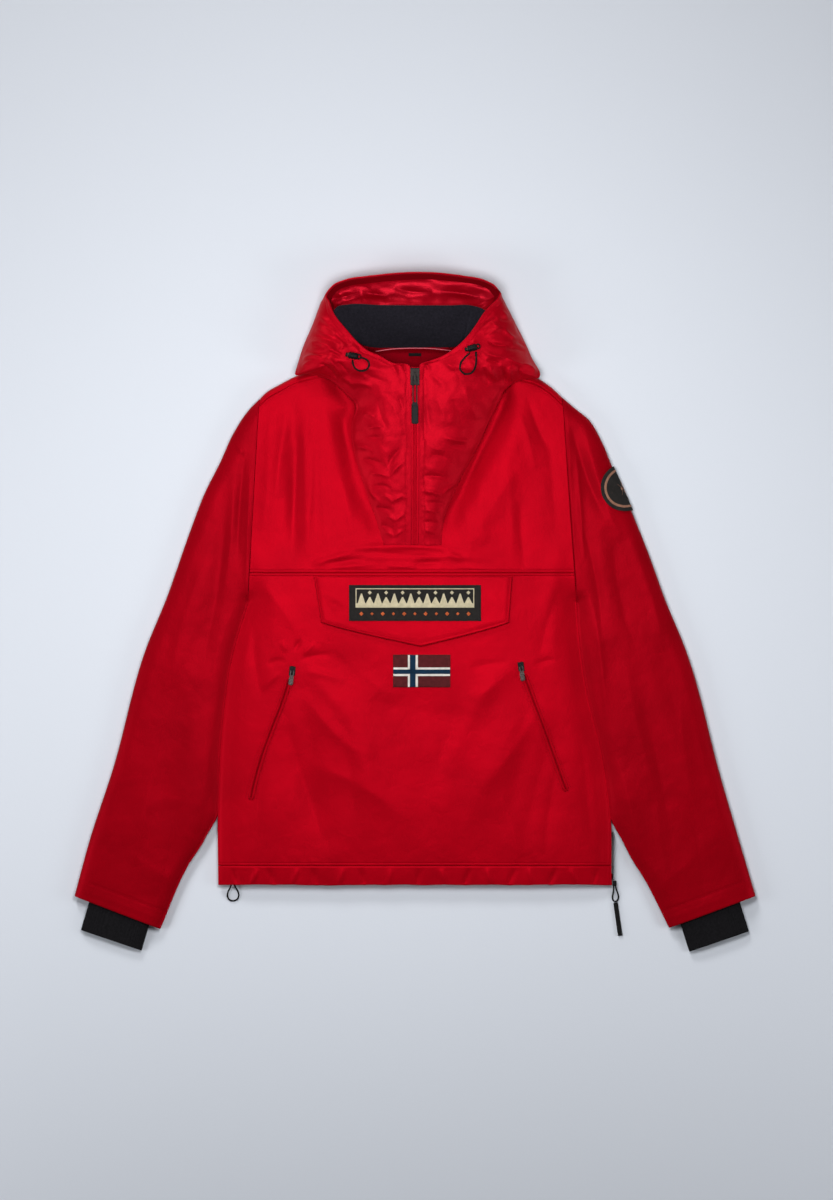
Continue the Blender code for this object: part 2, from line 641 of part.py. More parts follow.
def hood_grid(table, rows, columns):
    """Sections from the inner edge to the outer one, swelling by the puff between them."""
    stations = smooth_path(table, rows)
    inner_edge, outer_edge, puff = stations[:, :3], stations[:, 3:6], stations[:, 6]
    run = outer_edge - inner_edge
    level = np.linalg.norm(run[:, :2], axis=1)
    reach = np.linalg.norm(run, axis=1)
    heading = run[:, :2] / level[:, None]
    grid = []
    for v in np.linspace(0, 1, columns):
        swell = (puff * (1 - (2 * v - 1) ** 2) ** 0.8 * (1 - (1 - v) ** 4))[:, None]
        out = np.column_stack([heading * (-run[:, 2] / reach)[:, None], level / reach])
        grid.append(inner_edge + run * v + out * swell)
    return np.array(grid).transpose(1, 0, 2)


def make_hood_side(name, table, sign):
    grid = hood_grid(table, 34, 9)
    normals = grid_normals(grid, False) * sign
    normals[:, 0, 0] *= 0.15
    normals /= np.linalg.norm(normals, axis=2, keepdims=True)
    wall(name, grid, CLOTH, RED, normals=normals)
    return grid


def make_hood_centre():
    grid = hood_grid(HOOD_CENTRE, 9, 6)
    wall("hood_centre", grid, CLOTH, RED, outward=-1)


def crown_top_z(x, y):
    """The hood's back and lining, seen inside the hood."""
    fold = fold_height(((-95, 436, 70, 446, 9, 2.2, 4), (-60, 456, 100, 452, 8, -1.2, -3)), x, y)
    return CROWN_TOP_Z + fold


def make_hood_crown():
    columns, rows = 15, 8
    low = smooth_path(CROWN_LOW, columns)
    top = smooth_path(CROWN_TOP, columns)
    left = smooth_path(CROWN_LEFT, rows)
    right = smooth_path(CROWN_RIGHT, rows)
    u = np.linspace(0, 1, columns)[None, :, None]
    v = np.linspace(0, 1, rows)[:, None, None]
    corners = (1 - u) * (1 - v) * low[0] + u * (1 - v) * low[-1] + (1 - u) * v * top[0] + u * v * top[-1]
    plan = (1 - v) * low + v * top + (1 - u) * left[:, None] + u * right[:, None] - corners
    ring = [(0, c) for c in range(columns)] + [(r, columns - 1) for r in range(1, rows)]
    ring += [(rows - 1, c) for c in range(columns - 2, -1, -1)] + [(r, 0) for r in range(rows - 2, 0, -1)]
    edge = np.array([plan[spot] for spot in ring])
    ahead = np.roll(edge, -1, axis=0) - np.roll(edge, 1, axis=0)
    inward = np.column_stack([-ahead[:, 1], ahead[:, 0]]) / np.linalg.norm(ahead, axis=1)[:, None]
    points = []
    for inset, height in CROWN_RIM:
        points += [(*spot, height) for spot in edge + inward * inset]
    count = len(ring)
    faces = [list(range(count))]
    for layer in range(len(CROWN_RIM) - 1):
        for place in range(count):
            beside = (place + 1) % count
            low_edge = layer * count
            low_pair = [low_edge + place, low_edge + beside]
            faces.append(low_pair + [low_edge + count + beside, low_edge + count + place])
    last = (len(CROWN_RIM) - 1) * count
    number = {spot: last + place for place, spot in enumerate(ring)}
    for row in range(1, rows - 1):
        for column in range(1, columns - 1):
            number[(row, column)] = len(points)
            x, y = plan[row, column]
            points.append((x, y, float(crown_top_z(x, y))))
    for row in range(rows - 1):
        for column in range(columns - 1):
            spots = ((row, column), (row, column + 1), (row + 1, column + 1), (row + 1, column))
            faces.append([number[spot] for spot in spots])
    mesh_object("hood_crown", points, faces, DEEP_RED)


def make_collar():
    stations = smooth_path(COLLAR, 21)
    grid = []
    for v in np.linspace(0, 1, 6):
        point = stations[:, :3] * (1 - v) + stations[:, 3:] * v
        point[:, 2] += 3.0 * math.sin(math.pi * v)
        grid.append(point)
    grid = np.array(grid)
    wall("collar_band", grid, CLOTH, FLEECE, outward=-1)


def make_neck_facing():
    """The lining below the collar's seam, and the hanger loop on it."""
    grid = []
    for y, z in NECK_FACING:
        half = 66 - (NECK_FACING[-1][0] - y) * 0.2
        grid.append([(x, y, z) for x in np.linspace(-half, half, 9)])
    wall("neck_facing", np.array(grid), 1.5, RED)
    loop = []
    for share in np.linspace(0, 1, 9):
        lift = 5.9 + 2.2 * math.sin(math.pi * share)
        loop.append([(-9 + 18 * share, y, lift + 0.9) for y in (357.2, 359.5, 361.6)])
    wall("hanger_loop", np.array(loop), 0.9, BLACK, outward=-1)


# ---------------------------------------------------------------- what lies on the cloth

def height_on(grid, x, y):
    """The grid's height at a place in plan, from the highest triangle over it."""
    best = -1e9
    for row in range(grid.shape[0] - 1):
        for column in range(grid.shape[1] - 1):
            a, b = grid[row, column], grid[row, column + 1]
            c, d = grid[row + 1, column + 1], grid[row + 1, column]
            for p, q, r in ((a, b, c), (a, c, d)):
                area = (q[0] - p[0]) * (r[1] - p[1]) - (r[0] - p[0]) * (q[1] - p[1])
                if abs(area) < 1e-9:
                    continue
                v = ((x - p[0]) * (r[1] - p[1]) - (r[0] - p[0]) * (y - p[1])) / area
                w = ((q[0] - p[0]) * (y - p[1]) - (x - p[0]) * (q[1] - p[1])) / area
                if v >= -1e-6 and w >= -1e-6 and v + w <= 1 + 1e-6:
                    best = max(best, p[2] + v * (q[2] - p[2]) + w * (r[2] - p[2]))
    return best


def slope_on(grid, x, y, reach):
    """Upward normal of the grid over a stretch as wide as what lies on it."""
    slope_x = (height_on(grid, x + reach, y) - height_on(grid, x - reach, y)) / (2 * reach)
    slope_y = (height_on(grid, x, y + reach) - height_on(grid, x, y - reach)) / (2 * reach)
    return (-slope_x, -slope_y, 1)


def make_front_zip():
    """Chain and tape between the hood fronts, just below their edges."""
    stations = smooth_path([row[:3] for row in LEFT_HOOD[:8]], 18)
    y, z = stations[:, 1], stations[:, 2]
    y = ZIP_FOOT_Y + (y - y[0]) * (ZIP_HEAD_Y - ZIP_FOOT_Y) / (y[-1] - y[0])
    across = (-ZIP_HALF_WIDTH, 0, ZIP_HALF_WIDTH)
    grid = np.array([[(x, y[i], z[i] - ZIP_DROP) for i in range(len(y))] for x in across])
    wall("front_zip", grid, 1.6, DEEP_RED, outward=-1)
    return y, z - ZIP_DROP


def box(shape, low, high):
    made = bmesh.ops.create_cube(shape, size=1)["verts"]
    centre = [(a + b) / 2 for a, b in zip(low, high)]
    for vert in made:
        vert.co = Vector([centre[i] + vert.co[i] * (high[i] - low[i]) for i in range(3)])
    return made


def box_object(name, low, high, look, bevel):
    shape = bmesh.new()
    box(shape, [value * MM for value in low], [value * MM for value in high])
    if bevel:
        bmesh.ops.bevel(
            shape, geom=shape.edges[:], offset=bevel * MM, segments=1, affect="EDGES", profile=0.5
        )
    data = bpy.data.meshes.new(name)
    shape.to_mesh(data)
    shape.free()
    return add_object(name, data, look)


def join(target, others):
    """Boolean unions of the others into the target; the others become helpers."""
    for other in others:
        union = target.modifiers.new("join_" + other.name, "BOOLEAN")
        union.operation = "UNION"
        union.solver = "EXACT"
        union.object = other
        other.hide_render = True
        other.display_type = "WIRE"


def place(pieces, turn):
    for piece in pieces:
        piece.matrix_world = turn


# Slider in its own frame: the pull's axis is the origin, the pull hangs along -Y, +Z leaves the cloth
PLATE_TOP = -1.9
PLATE_LOW = -3.7


def make_slider(name, size, width, length, turn):
    """The slider's plate and the bridge over the pull's bar."""
    low = (-width / 2, -length / 2, PLATE_LOW * size)
    plate = box_object(name, low, (width / 2, length / 2, PLATE_TOP * size), GREY_METAL, 0.5)
    legs = []
    for index, low_y in enumerate((-6.0, 4.4)):
        legs.append(box_object(
            f"{name}_leg_{index}",
            (-1.4 * size, low_y * size, (PLATE_TOP - 0.4) * size),
            (1.4 * size, (low_y + 1.6) * size, 2.6 * size), GREY_METAL, 0,
        ))
    low = (-1.4 * size, -6.0 * size, 1.7 * size)
    bridge = box_object(f"{name}_bridge", low, (1.4 * size, 6.0 * size, 3.1 * size), GREY_METAL, 0.3)
    join(plate, legs + [bridge])
    place([plate, *legs, bridge], turn)


def pull_outline(half_top, half_foot, top_y, foot_y, taper_y):
    corner = half_top * 0.35
    return [
        (-half_top + corner, top_y), (half_top - corner, top_y), (half_top, top_y - corner),
        (half_top, taper_y), (half_foot, taper_y - 3), (half_foot, foot_y + 1.5), (half_foot - 1.5, foot_y),
        (-half_foot + 1.5, foot_y), (-half_foot, foot_y + 1.5), (-half_foot, taper_y - 3),
        (-half_top, taper_y), (-half_top, top_y - corner),
    ]


def make_pull(name, size, slot, length, half_foot, droop, turn, look):
    """A pull with a slot that goes round the bridge, and a thicker grip below it."""
    thick = 0.8 * size
    half_top = 3.6 * size
    half_slot = 2.0 * size
    outline = pull_outline(half_top, half_foot, thick, -length, -slot - 1.5)
    hole_top, hole_foot = -thick, -slot
    inner = [
        (-half_slot, hole_top), (half_slot, hole_top), (half_slot, hole_top - 0.8),
        (half_slot, hole_foot + 1.2),
        (half_slot * 0.8, hole_foot + 0.4), (half_slot * 0.5, hole_foot), (half_slot * 0.2, hole_foot),
        (-half_slot * 0.2, hole_foot), (-half_slot * 0.5, hole_foot), (-half_slot * 0.8, hole_foot + 0.4),
        (-half_slot, hole_foot + 1.2), (-half_slot, hole_top - 0.8),
    ]
    count = len(outline)
    points = [(x, y, side * thick) for side in (1, -1) for loop in (outline, inner) for x, y in loop]
    faces = []
    for i in range(count):
        j = (i + 1) % count
        faces.append([i, j, count + j, count + i])
        faces.append([2 * count + j, 2 * count + i, 3 * count + i, 3 * count + j])
        faces.append([i, 2 * count + i, 2 * count + j, j])
        faces.append([count + i, count + j, 3 * count + j, 3 * count + i])
    pull = mesh_object(name, points, faces, look)
    low = (-half_foot + 0.4, -length + 0.5, -thick * 1.7)
    grip = box_object(name + "_grip", low, (half_foot - 0.4, -slot - 4.5, thick * 1.7), look, 0.6)
    join(pull, [grip])
    drop = Matrix.Rotation(math.radians(droop), 4, "X")
    for piece in (pull, grip):
        piece.data.transform(drop)
    place([pull, grip], turn)


def cloth_frame(x, y, surface_z, normal, heading, lift):
    """A frame on the cloth: -Y along the heading, +Z along the normal."""
    up = Vector(normal).normalized()
    back = -Vector(heading)
    back = (back - up * back.dot(up)).normalized()
    side = back.cross(up)
    origin = (Vector((x, y, surface_z)) + up * lift) * MM
    turn = Matrix((side, back, up)).transposed().to_4x4()
    turn.translation = origin
    return turn


def make_front_slider(zip_y, zip_z):
    y = ZIP_SLIDER_Y
    z = np.interp(y, zip_y, zip_z)
    slope = (np.interp(y + 12, zip_y, zip_z) - np.interp(y - 12, zip_y, zip_z)) / 24
    normal = (0, -slope, 1)
    turn = cloth_frame(0, y, z, normal, (0, -1, 0), 4.9)
    make_slider("front_zip_slider", 1.0, 13.0, 24.0, turn)
    make_pull("front_zip_pull", 1.0, 36.0, 66.0, 4.6, 1.0, turn, BLACK)


def strip_on(name, line, half_width, lift, thickness, look, surface, count):
    centre = smooth_path(line, count)
    ahead = np.gradient(centre, axis=0)
    side = np.column_stack([-ahead[:, 1], ahead[:, 0]]) / np.linalg.norm(ahead, axis=1)[:, None]
    plan = np.array([centre + side * offset for offset in (half_width, 0, -half_width)])
    plate_on(name, plan, lift, thickness, look, surface)


def make_pocket(side, line):
    strip_on(f"pocket_zip_{side}", line, POCKET_HALF_WIDTH, 0.4, 1.4, DEEP_RED, front_top, 14)
    start, onward = np.array(line[0]), np.array(line[1])
    heading = (onward - start) / np.linalg.norm(onward - start)
    at = start - heading * 9
    step = 6
    slope_x = (front_top(at[0] + step, at[1]) - front_top(at[0] - step, at[1])) / (2 * step)
    slope_y = (front_top(at[0], at[1] + step) - front_top(at[0], at[1] - step)) / (2 * step)
    normal = (-float(slope_x), -float(slope_y), 1)
    lean = Vector((heading[0] * 0.35, heading[1], 0)).normalized()
    turn = cloth_frame(at[0], at[1], float(front_top(*at)), normal, lean, 0.75 * 3.7 + 0.7)
    make_slider(f"pocket_slider_{side}", 0.75, 8.6, 13.0, turn)
    make_pull(f"pocket_pull_{side}", 0.75, 6.2, 20.0, 3.2, 0.6, turn, GREY_METAL)


def make_flap():
    rows = []
    for v in np.linspace(0, 1, 8):
        row = []
        for u in np.linspace(0, 1, 13):
            top = np.array([FLAP_TOP_X[0] + u * (FLAP_TOP_X[1] - FLAP_TOP_X[0]), FLAP_TOP_Y])
            foot_x = FLAP_FOOT_X[0] + u * (FLAP_FOOT_X[1] - FLAP_FOOT_X[0])
            if foot_x < FLAP_POINT[0]:
                share = (foot_x - FLAP_FOOT_X[0]) / (FLAP_POINT[0] - FLAP_FOOT_X[0])
            else:
                share = (FLAP_FOOT_X[1] - foot_x) / (FLAP_FOOT_X[1] - FLAP_POINT[0])
            foot = np.array([foot_x, FLAP_FOOT_Y + share**0.85 * (FLAP_POINT[1] - FLAP_FOOT_Y)])
            row.append(top + v * (foot - top))
        rows.append(row)
    plan = np.array(rows)
    plate_on("pocket_flap", plan, 0.0, CLOTH, RED, flap_under)


def flap_under(x, y):
    """The flap's lower side: it leaves the cloth a little towards its point."""
    away = np.clip((FLAP_TOP_Y - y) / 100, 0, 1)
    return front_top(x, y) + 0.4 + 1.6 * away**1.5


def flap_over(x, y):
    return flap_under(x, y) + CLOTH


def make_patch(name, corners, thickness, look, surface, columns, rows):
    low_x, low_y, high_x, high_y = corners
    x, y = np.meshgrid(np.linspace(low_x, high_x, columns), np.linspace(low_y, high_y, rows))
    plate_on(name, np.stack([x, y], axis=-1), 0.35, thickness, look, surface)


def edge_profile(upper, lower, spot, inward):
    """Points up the sleeve's edge from the underside, square to the edge line, with their arc from it."""
    insets = np.concatenate([[0.4, 0.9, 1.8, 3.0], np.arange(5.0, 40.0, 2.5)])
    plan = spot[:2] + np.outer(insets, inward)
    over = [(x, y, height_on(upper, x, y)) for x, y in plan]
    under = [(x, y, height_on(lower, x, y)) for x, y in plan[2:]]
    profile = np.array(under[::-1] + [tuple(spot)] + over)
    arc = np.concatenate([[0], np.cumsum(np.linalg.norm(np.diff(profile, axis=0), axis=1))])
    return profile, arc - arc[len(under)]


def make_badge():
    """A round badge on the sleeve's outer edge, half of it wrapped to the underside."""
    upper, lower = sleeve_halves(RIGHT_SLEEVE_OUTER, RIGHT_SLEEVE_INNER, RIGHT_SLEEVE_FOLDS, 1)
    upper, lower = upper[1:8], lower[1:8]
    edge = (upper[:, 0] + lower[:, -1]) / 2
    along = np.concatenate([[0], np.cumsum(np.linalg.norm(np.diff(edge, axis=0), axis=1))])
    centre = np.interp(-BADGE_Y, -edge[:, 1], along)
    shares = np.array(BADGE_SHARES)
    grid, normals = [], []
    for level in np.linspace(-0.985, 0.985, 11):
        reach = BADGE_RADIUS * math.sin(level * math.pi / 2)
        half = math.sqrt(BADGE_RADIUS**2 - reach**2)
        spot, ahead = [
            np.array([np.interp(centre + reach + step, along, edge[:, axis]) for axis in range(3)])
            for step in (0, 2)
        ]
        onward = (ahead - spot) / np.linalg.norm(ahead - spot)
        inward = np.array([onward[1], -onward[0]])
        profile, arc = edge_profile(upper, lower, spot, inward)
        at = half * shares
        here, later, sooner = [
            np.column_stack([np.interp(at + step, arc, profile[:, axis]) for axis in range(3)])
            for step in (0, 1.5, -1.5)
        ]
        normal = np.cross(onward, later - sooner)
        normals.append(normal / np.linalg.norm(normal, axis=1)[:, None])
        grid.append(here)
    grid, normals = np.array(grid), np.array(normals)
    normals *= np.sign(normals[5, -1, 2])
    wall("sleeve_badge", grid + normals * (BADGE_GAP + BADGE_THICK), BADGE_THICK, PATCH, normals=normals)


def make_lock(name, spot, grid):
    """A cord lock: a rounded barrel with its button, lying on the hood."""
    x, y, turn = spot
    heading = (math.sin(turn), -math.cos(turn), 0)
    frame = cloth_frame(x, y, height_on(grid, x, y), slope_on(grid, x, y, 6), heading, 5.0)
    barrel = box_object(name, (-7.5, -4.6, -4.0), (7.5, 4.6, 4.0), BLACK, 2.2)
    button = box_object(name + "_button", (-11.0, -3.2, -2.8), (-6.5, 3.2, 2.8), BLACK, 1.0)
    ear = box_object(name + "_ear", (6.5, -3.4, -2.8), (10.5, 3.4, 2.8), BLACK, 1.0)
    join(barrel, [button, ear])
    place([barrel, button, ear], frame)


def make_cord(name, points, diameter, look, count):
    """A round cord along a smooth curve through its route's points."""
    route = smooth_path(points, count)
    data = bpy.data.curves.new(name, "CURVE")
    data.dimensions = "3D"
    data.bevel_depth = diameter / 2 * MM
    data.bevel_resolution = 2
    data.use_fill_caps = True
    spline = data.splines.new("POLY")
    spline.points.add(count - 1)
    for point, at in zip(spline.points, route):
        point.co = (*(at * MM), 1)
    return add_object(name, data, look)


def make_hood_loop(name, route, grid):
    points = []
    for index, (x, y) in enumerate(route):
        height = height_on(grid, x, y)
        lift = CORD_MM / 2 + (2.6 if index in (0, len(route) - 1) else 1.0)
        points.append((x, y, height + lift))
    make_cord(name, points, CORD_MM, BLACK, 20)
    return points


def make_side_zip():
    """A short zip in the right side seam, its slider at the hem and the tab on its cord."""
    grid = []
    for z in (4.6, 8.0, 11.4):
        row = []
        for y in np.linspace(-309, -377, 7):
            row.append((x_at(RIGHT_SIDE, y) + 1.6, y, z))
        grid.append(row)
    normals = np.zeros((3, 7, 3))
    normals[..., 0] = 1
    wall("side_zip", np.array(grid), 1.2, BLACK, normals=normals)
    box_object("side_zip_slider", (276.7, -385.4, 4.4), (282.5, -377.4, 10.4), BLACK, 0.8)
    from_x, from_y, to_x, to_y = SIDE_TAB
    length = math.hypot(to_x - from_x, to_y - from_y)
    tab = box_object("side_zip_tab", (-3.2, -length, 0.0), (3.2, 0, 3.0), BLACK, 0.8)
    tab.location = (from_x * MM, from_y * MM, 0)
    tab.rotation_euler = (0, 0, math.atan2(to_x - from_x, from_y - to_y))


def main():
    clear_scene()
    make_back_panel()
    make_front_body()
    make_front_yoke()
    make_hem_band()
    make_sleeve("sleeve_left", LEFT_SLEEVE_OUTER, LEFT_SLEEVE_INNER, LEFT_SLEEVE_FOLDS, -1)
    make_sleeve("sleeve_right", RIGHT_SLEEVE_OUTER, RIGHT_SLEEVE_INNER, RIGHT_SLEEVE_FOLDS, 1)
    make_knit_cuff("knit_cuff_left", LEFT_CUFF, -1)
    make_knit_cuff("knit_cuff_right", RIGHT_CUFF, 1)
    left_grid = make_hood_side("hood_left", LEFT_HOOD, -1)
    right_grid = make_hood_side("hood_right", RIGHT_HOOD, 1)
    make_hood_centre()
    make_hood_crown()
    make_collar()
    make_neck_facing()
    zip_y, zip_z = make_front_zip()
    make_front_slider(zip_y, zip_z)
    make_pocket("left", LEFT_POCKET)
    make_pocket("right", RIGHT_POCKET)
    make_flap()
    make_patch("label_patch", LABEL_BOX, 1.0, PATCH, flap_over, 9, 4)
    make_patch("flag_patch", FLAG_BOX, 0.8, FLAG, front_top, 6, 4)
    make_badge()
    make_lock("cord_lock_left", LEFT_LOCK, left_grid)
    make_lock("cord_lock_right", RIGHT_LOCK, right_grid)
    make_hood_loop("hood_cord_left", LEFT_LOOP, left_grid)
    make_hood_loop("hood_cord_right", RIGHT_LOOP, right_grid)
    make_cord("hem_cord", HEM_LOOP, HEM_CORD_MM, BLACK, 22)
    make_side_zip()
    make_cord("side_zip_cord", SIDE_LOOP, HEM_CORD_MM, BLACK, 18)


main()
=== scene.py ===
"""Looks of the hooded half-zip anorak, laid flat with its front up.

Sizes are millimetres, but the ends and bows of the creases are pixels of the photo.
+X runs to the right of the laid garment, +Y to the hood and +Z up from the surface.
Every piece is made on the form that its solid has, then gets its folds, seams and stitches.
"""

import math

import bpy
import numpy as np
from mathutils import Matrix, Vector


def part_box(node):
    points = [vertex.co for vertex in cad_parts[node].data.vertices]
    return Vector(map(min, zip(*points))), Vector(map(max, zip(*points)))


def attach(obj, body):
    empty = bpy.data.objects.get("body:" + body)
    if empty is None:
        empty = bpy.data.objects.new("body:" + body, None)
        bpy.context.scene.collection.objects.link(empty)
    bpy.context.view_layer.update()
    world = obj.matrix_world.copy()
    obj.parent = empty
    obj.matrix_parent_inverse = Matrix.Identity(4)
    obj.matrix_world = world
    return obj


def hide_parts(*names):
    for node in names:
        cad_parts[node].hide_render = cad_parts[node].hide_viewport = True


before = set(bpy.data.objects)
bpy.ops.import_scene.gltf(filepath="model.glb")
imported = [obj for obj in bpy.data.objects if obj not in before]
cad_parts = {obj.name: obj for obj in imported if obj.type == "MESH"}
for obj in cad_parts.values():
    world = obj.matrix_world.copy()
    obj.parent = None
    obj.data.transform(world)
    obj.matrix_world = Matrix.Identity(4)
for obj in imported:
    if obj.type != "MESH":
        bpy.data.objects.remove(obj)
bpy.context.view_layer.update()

MM = 0.001
CLOTH = 2.5  # thickness of the flap
CLOTH_PITCH = 2.6  # between the points of a cloth
SEAM_GAP = 0.3
BODY_TOP = 18.0
SIDE_SEAM_Z = 8.0
TOP_ROUND = 20.0
UNDER_ROUND = 12.0
HEM_Y = -383.5
HEM_SEAM_Y = -356.7
YOKE_SEAM_Y = 53.5
UNDERARM_Y = 12.0
NOTCH_Y = 92.7
HEM_DROP = 3.0
SHOULDER_RADIUS = 9.0
BACK_NECK_X = 118.0
BACK_NECK_Y = (326.0, 46.0)
FRONT_NECK = (105.0, 331.0)
YOKE_TUCK = 1.2
YOKE_STITCH = 4.2  # from the yoke seam to its stitches, on both sides
SEAM_STITCH = 4.0  # and from the other seams
STITCH_DIP = (0.35, 0.8)  # depth and half width
# Widths and lengths by which points are shared out, and the sleeve's hem
BODY_WIDTH = 553.0
SLEEVE_WIDTH = 285.0
SLEEVE_LENGTH = 705.0
SLEEVE_HEM = 22.0
BADGE_LIFT = 5.6
CORD_MM = 2.6
HEM_CORD_MM = 2.2
ROLL = 1.25  # radius of a turned cloth edge
BODY_CREASE = 1.7  # how much the tables' crease heights count for on the body and sleeves
HOOD_CREASE = 1.7
HEM_CREASE = 3.4
SIDE_SLOPE = 4.0  # how far the front falls off towards its sides
SLEEVE_SLOPE = 2.8  # and a sleeve towards the body
HOOD_DIP = 4.6

# Camera: straight above, far enough away that height hardly changes size
CAMERA_AT = (0.0022, 0.0157, 9.348)
CAMERA_LENS = 200

# Side lines from hem to shoulder: x, y
LEFT_SIDE = ((-275.7, -384), (-276.2, -280), (-270.8, -170), (-255.4, -61), (-233.7, 12))
RIGHT_SIDE = ((275.9, -384), (273.8, -280), (260.5, -193), (242.3, -119), (229.5, -30), (226.5, 12))
LEFT_ARMHOLE = ((-233.7, 12), (-229.0, 97), (-224.5, 180), (-217.6, 297))
RIGHT_ARMHOLE = ((226.5, 12), (219.0, 110), (212.5, 205), (206.5, 299))
# Shoulder line of the outline, from the armhole to the neck: x, y
LEFT_SHOULDER = ((-217.6, 297), (-207.6, 306.9), (-190, 317), (-165.8, 329.3), (-140, 337), (-105, 342))
RIGHT_SHOULDER = ((206.5, 299), (190.4, 313.9), (171.0, 326.5), (150, 333), (128, 338), (105, 342))
# Sleeve outlines: x, y
LEFT_SLEEVE_OUTER = (
    (-217.6, 297), (-230.2, 284.5), (-256.1, 245.3), (-271.9, 210.3), (-294.4, 165.5), (-316.8, 106.7),
    (-349, 15.7), (-376, -50.1), (-423.6, -222.3), (-455.7, -320.3), (-476.8, -398),
)
LEFT_SLEEVE_INNER = (
    (-234.4, 12), (-257.8, -61), (-274.4, -170), (-280.2, -283), (-294.6, -320.3),
    (-317.7, -356.7), (-356.2, -444.2),
)
RIGHT_SLEEVE_OUTER = (
    (206.5, 299), (224, 284), (243.5, 268), (260, 241), (276.4, 202), (299.7, 148.7), (329, 76),
    (350.8, 15.7), (378, -50.1), (429.4, -236.3), (445.8, -292.3), (477, -397.7),
)
RIGHT_SLEEVE_INNER = (
    (227.6, 12), (231.6, -30), (244.5, -119), (262.9, -193), (276.8, -283), (302.5, -345.5),
    (319.3, -372), (355.7, -442.8),
)
# Knit cuffs: outer and inner corner inside the sleeve, then at the open end
LEFT_CUFF = (((-444.5, -365), (-361, -402)), ((-467.6, -445.9), (-382.8, -474.7)))
RIGHT_CUFF = (((443, -367), (360, -401)), ((467.5, -447.7), (384.2, -476.3)))
CUFF_HEIGHT = 10.4
CUFF_FLOOR = 3.0  # the cuff's height inside the sleeve; it comes down to rest at its end
# Edges of the yoke's V notch, from its foot up to the neck: x, y
LEFT_NOTCH = (
    (-43.6, 92.7), (-52.3, 125), (-63.3, 156), (-78.6, 202), (-86.6, 234), (-87.6, 262), (-80, 285),
    (-92, 310), (-105, 331),
)
RIGHT_NOTCH = (
    (37.0, 92.7), (40.9, 129), (63.6, 185), (89.6, 234), (105.5, 270), (113, 300), (110, 318), (105, 331),
)

# Hood halves from the foot of the V round to the brow. Each row is the inner edge (zip, then
# face opening), the outer edge (V seam, then overhang, then outline) and the puff between them.
#  in_x, in_y, in_z, out_x, out_y, out_z, puff
LEFT_HOOD = (
    (-4.6, 93, 20, -43.3, 93, 18, 2),
    (-4.6, 125, 25.5, -52, 125, 18, 4),
    (-4.6, 156, 30.5, -63, 156, 18, 6),
    (-4.6, 202, 37, -78.3, 202, 18.5, 8),
    (-4.6, 234, 41, -86.3, 234, 19, 9),
    (-4.6, 270, 45, -87.2, 262, 21, 10),
    (-4.6, 306, 48.3, -80, 288, 28, 9),
    (-4.7, 332, 50, -92, 303, 30, 9),
    (-7.0, 342, 50.5, -104, 315, 30.5, 10),
    (-31, 346.6, 51, -122, 327, 30, 12),
    (-50, 357, 51.5, -148, 332, 29, 13),
    (-66, 364, 51.5, -163, 331, 27, 15),
    (-80, 375.5, 51, -165, 338, 24, 16),
    (-95, 392, 50, -161, 354.5, 15, 16),
    (-103, 401, 49, -155, 373, 11, 13),
    (-110, 409, 48, -146, 394, 10, 10),
    (-117.5, 422, 46, -137, 415, 9.2, 7),
    (-121, 443, 44, -126.5, 443, 8.6, 3),
    (-114, 452.5, 42, -116, 456, 8.6, 1.5),
    (-98, 460.5, 41, -99, 464, 8.6, 1.5),
    (-62, 467, 40, -62.5, 470, 8.6, 1.5),
)
RIGHT_HOOD = (
    (4.6, 93, 20, 36.3, 93, 18, 2),
    (4.6, 130, 26.4, 40.2, 129, 18, 4),
    (4.6, 185, 34.8, 62.6, 185, 18, 7),
    (4.6, 234, 41, 88.6, 234, 19, 9),
    (4.6, 275, 45.5, 104.6, 270, 21, 10),
    (4.6, 308, 48.4, 116, 296, 26.5, 9),
    (4.7, 334, 50, 125, 312, 29, 9),
    (7.0, 344, 50.5, 135, 320, 29.5, 10),
    (20, 349, 51, 150, 324.5, 29.5, 12),
    (38, 356, 51.5, 163, 326.5, 29, 13),
    (57.5, 368.5, 51.5, 171, 328, 27, 15),
    (70, 380, 51, 172.8, 336, 24, 16),
    (85, 399, 50, 163, 355, 15, 15),
    (98, 418, 49, 152, 380, 11, 12),
    (108, 428, 47, 139, 406, 10, 9),
    (117.5, 437, 45, 130.5, 423, 9, 6),
    (119, 446.5, 43, 122.5, 440, 8.6, 3),
    (112, 452, 42, 113.5, 454.6, 8.6, 1.5),
    (101, 458.5, 41, 102, 462, 8.6, 1.5),
    (62, 467, 40, 62.5, 471, 8.6, 1.5),
)
HOOD_CENTRE = (
    (-61.7, 467, 40, -62.2, 470, 8.6, 1.5),
    (-30, 470, 40, -30.5, 473.4, 8.6, 1.5),
    (0, 471.5, 40, 0, 475, 8.6, 1.5),
    (25, 471, 40, 25.5, 474.6, 8.6, 1.5),
    (61.7, 467, 40, 62.2, 471, 8.6, 1.5),
)
# Outline of the folded crown under the hood: x, y
CROWN_LEFT = ((-162, 347), (-155, 373), (-146, 394), (-137, 415), (-123, 446))
CROWN_RIGHT = ((164, 347), (152, 380), (139, 406), (130, 423), (119, 446))
CROWN_TOP = (
    (-123, 446), (-114, 457), (-99, 464.5), (-62, 471), (0, 476), (62, 471.5), (102, 462), (119, 446),
)
CROWN_LOW = ((-162, 347), (-110, 366), (-50, 378), (0, 381), (50, 378), (110, 366), (164, 347))

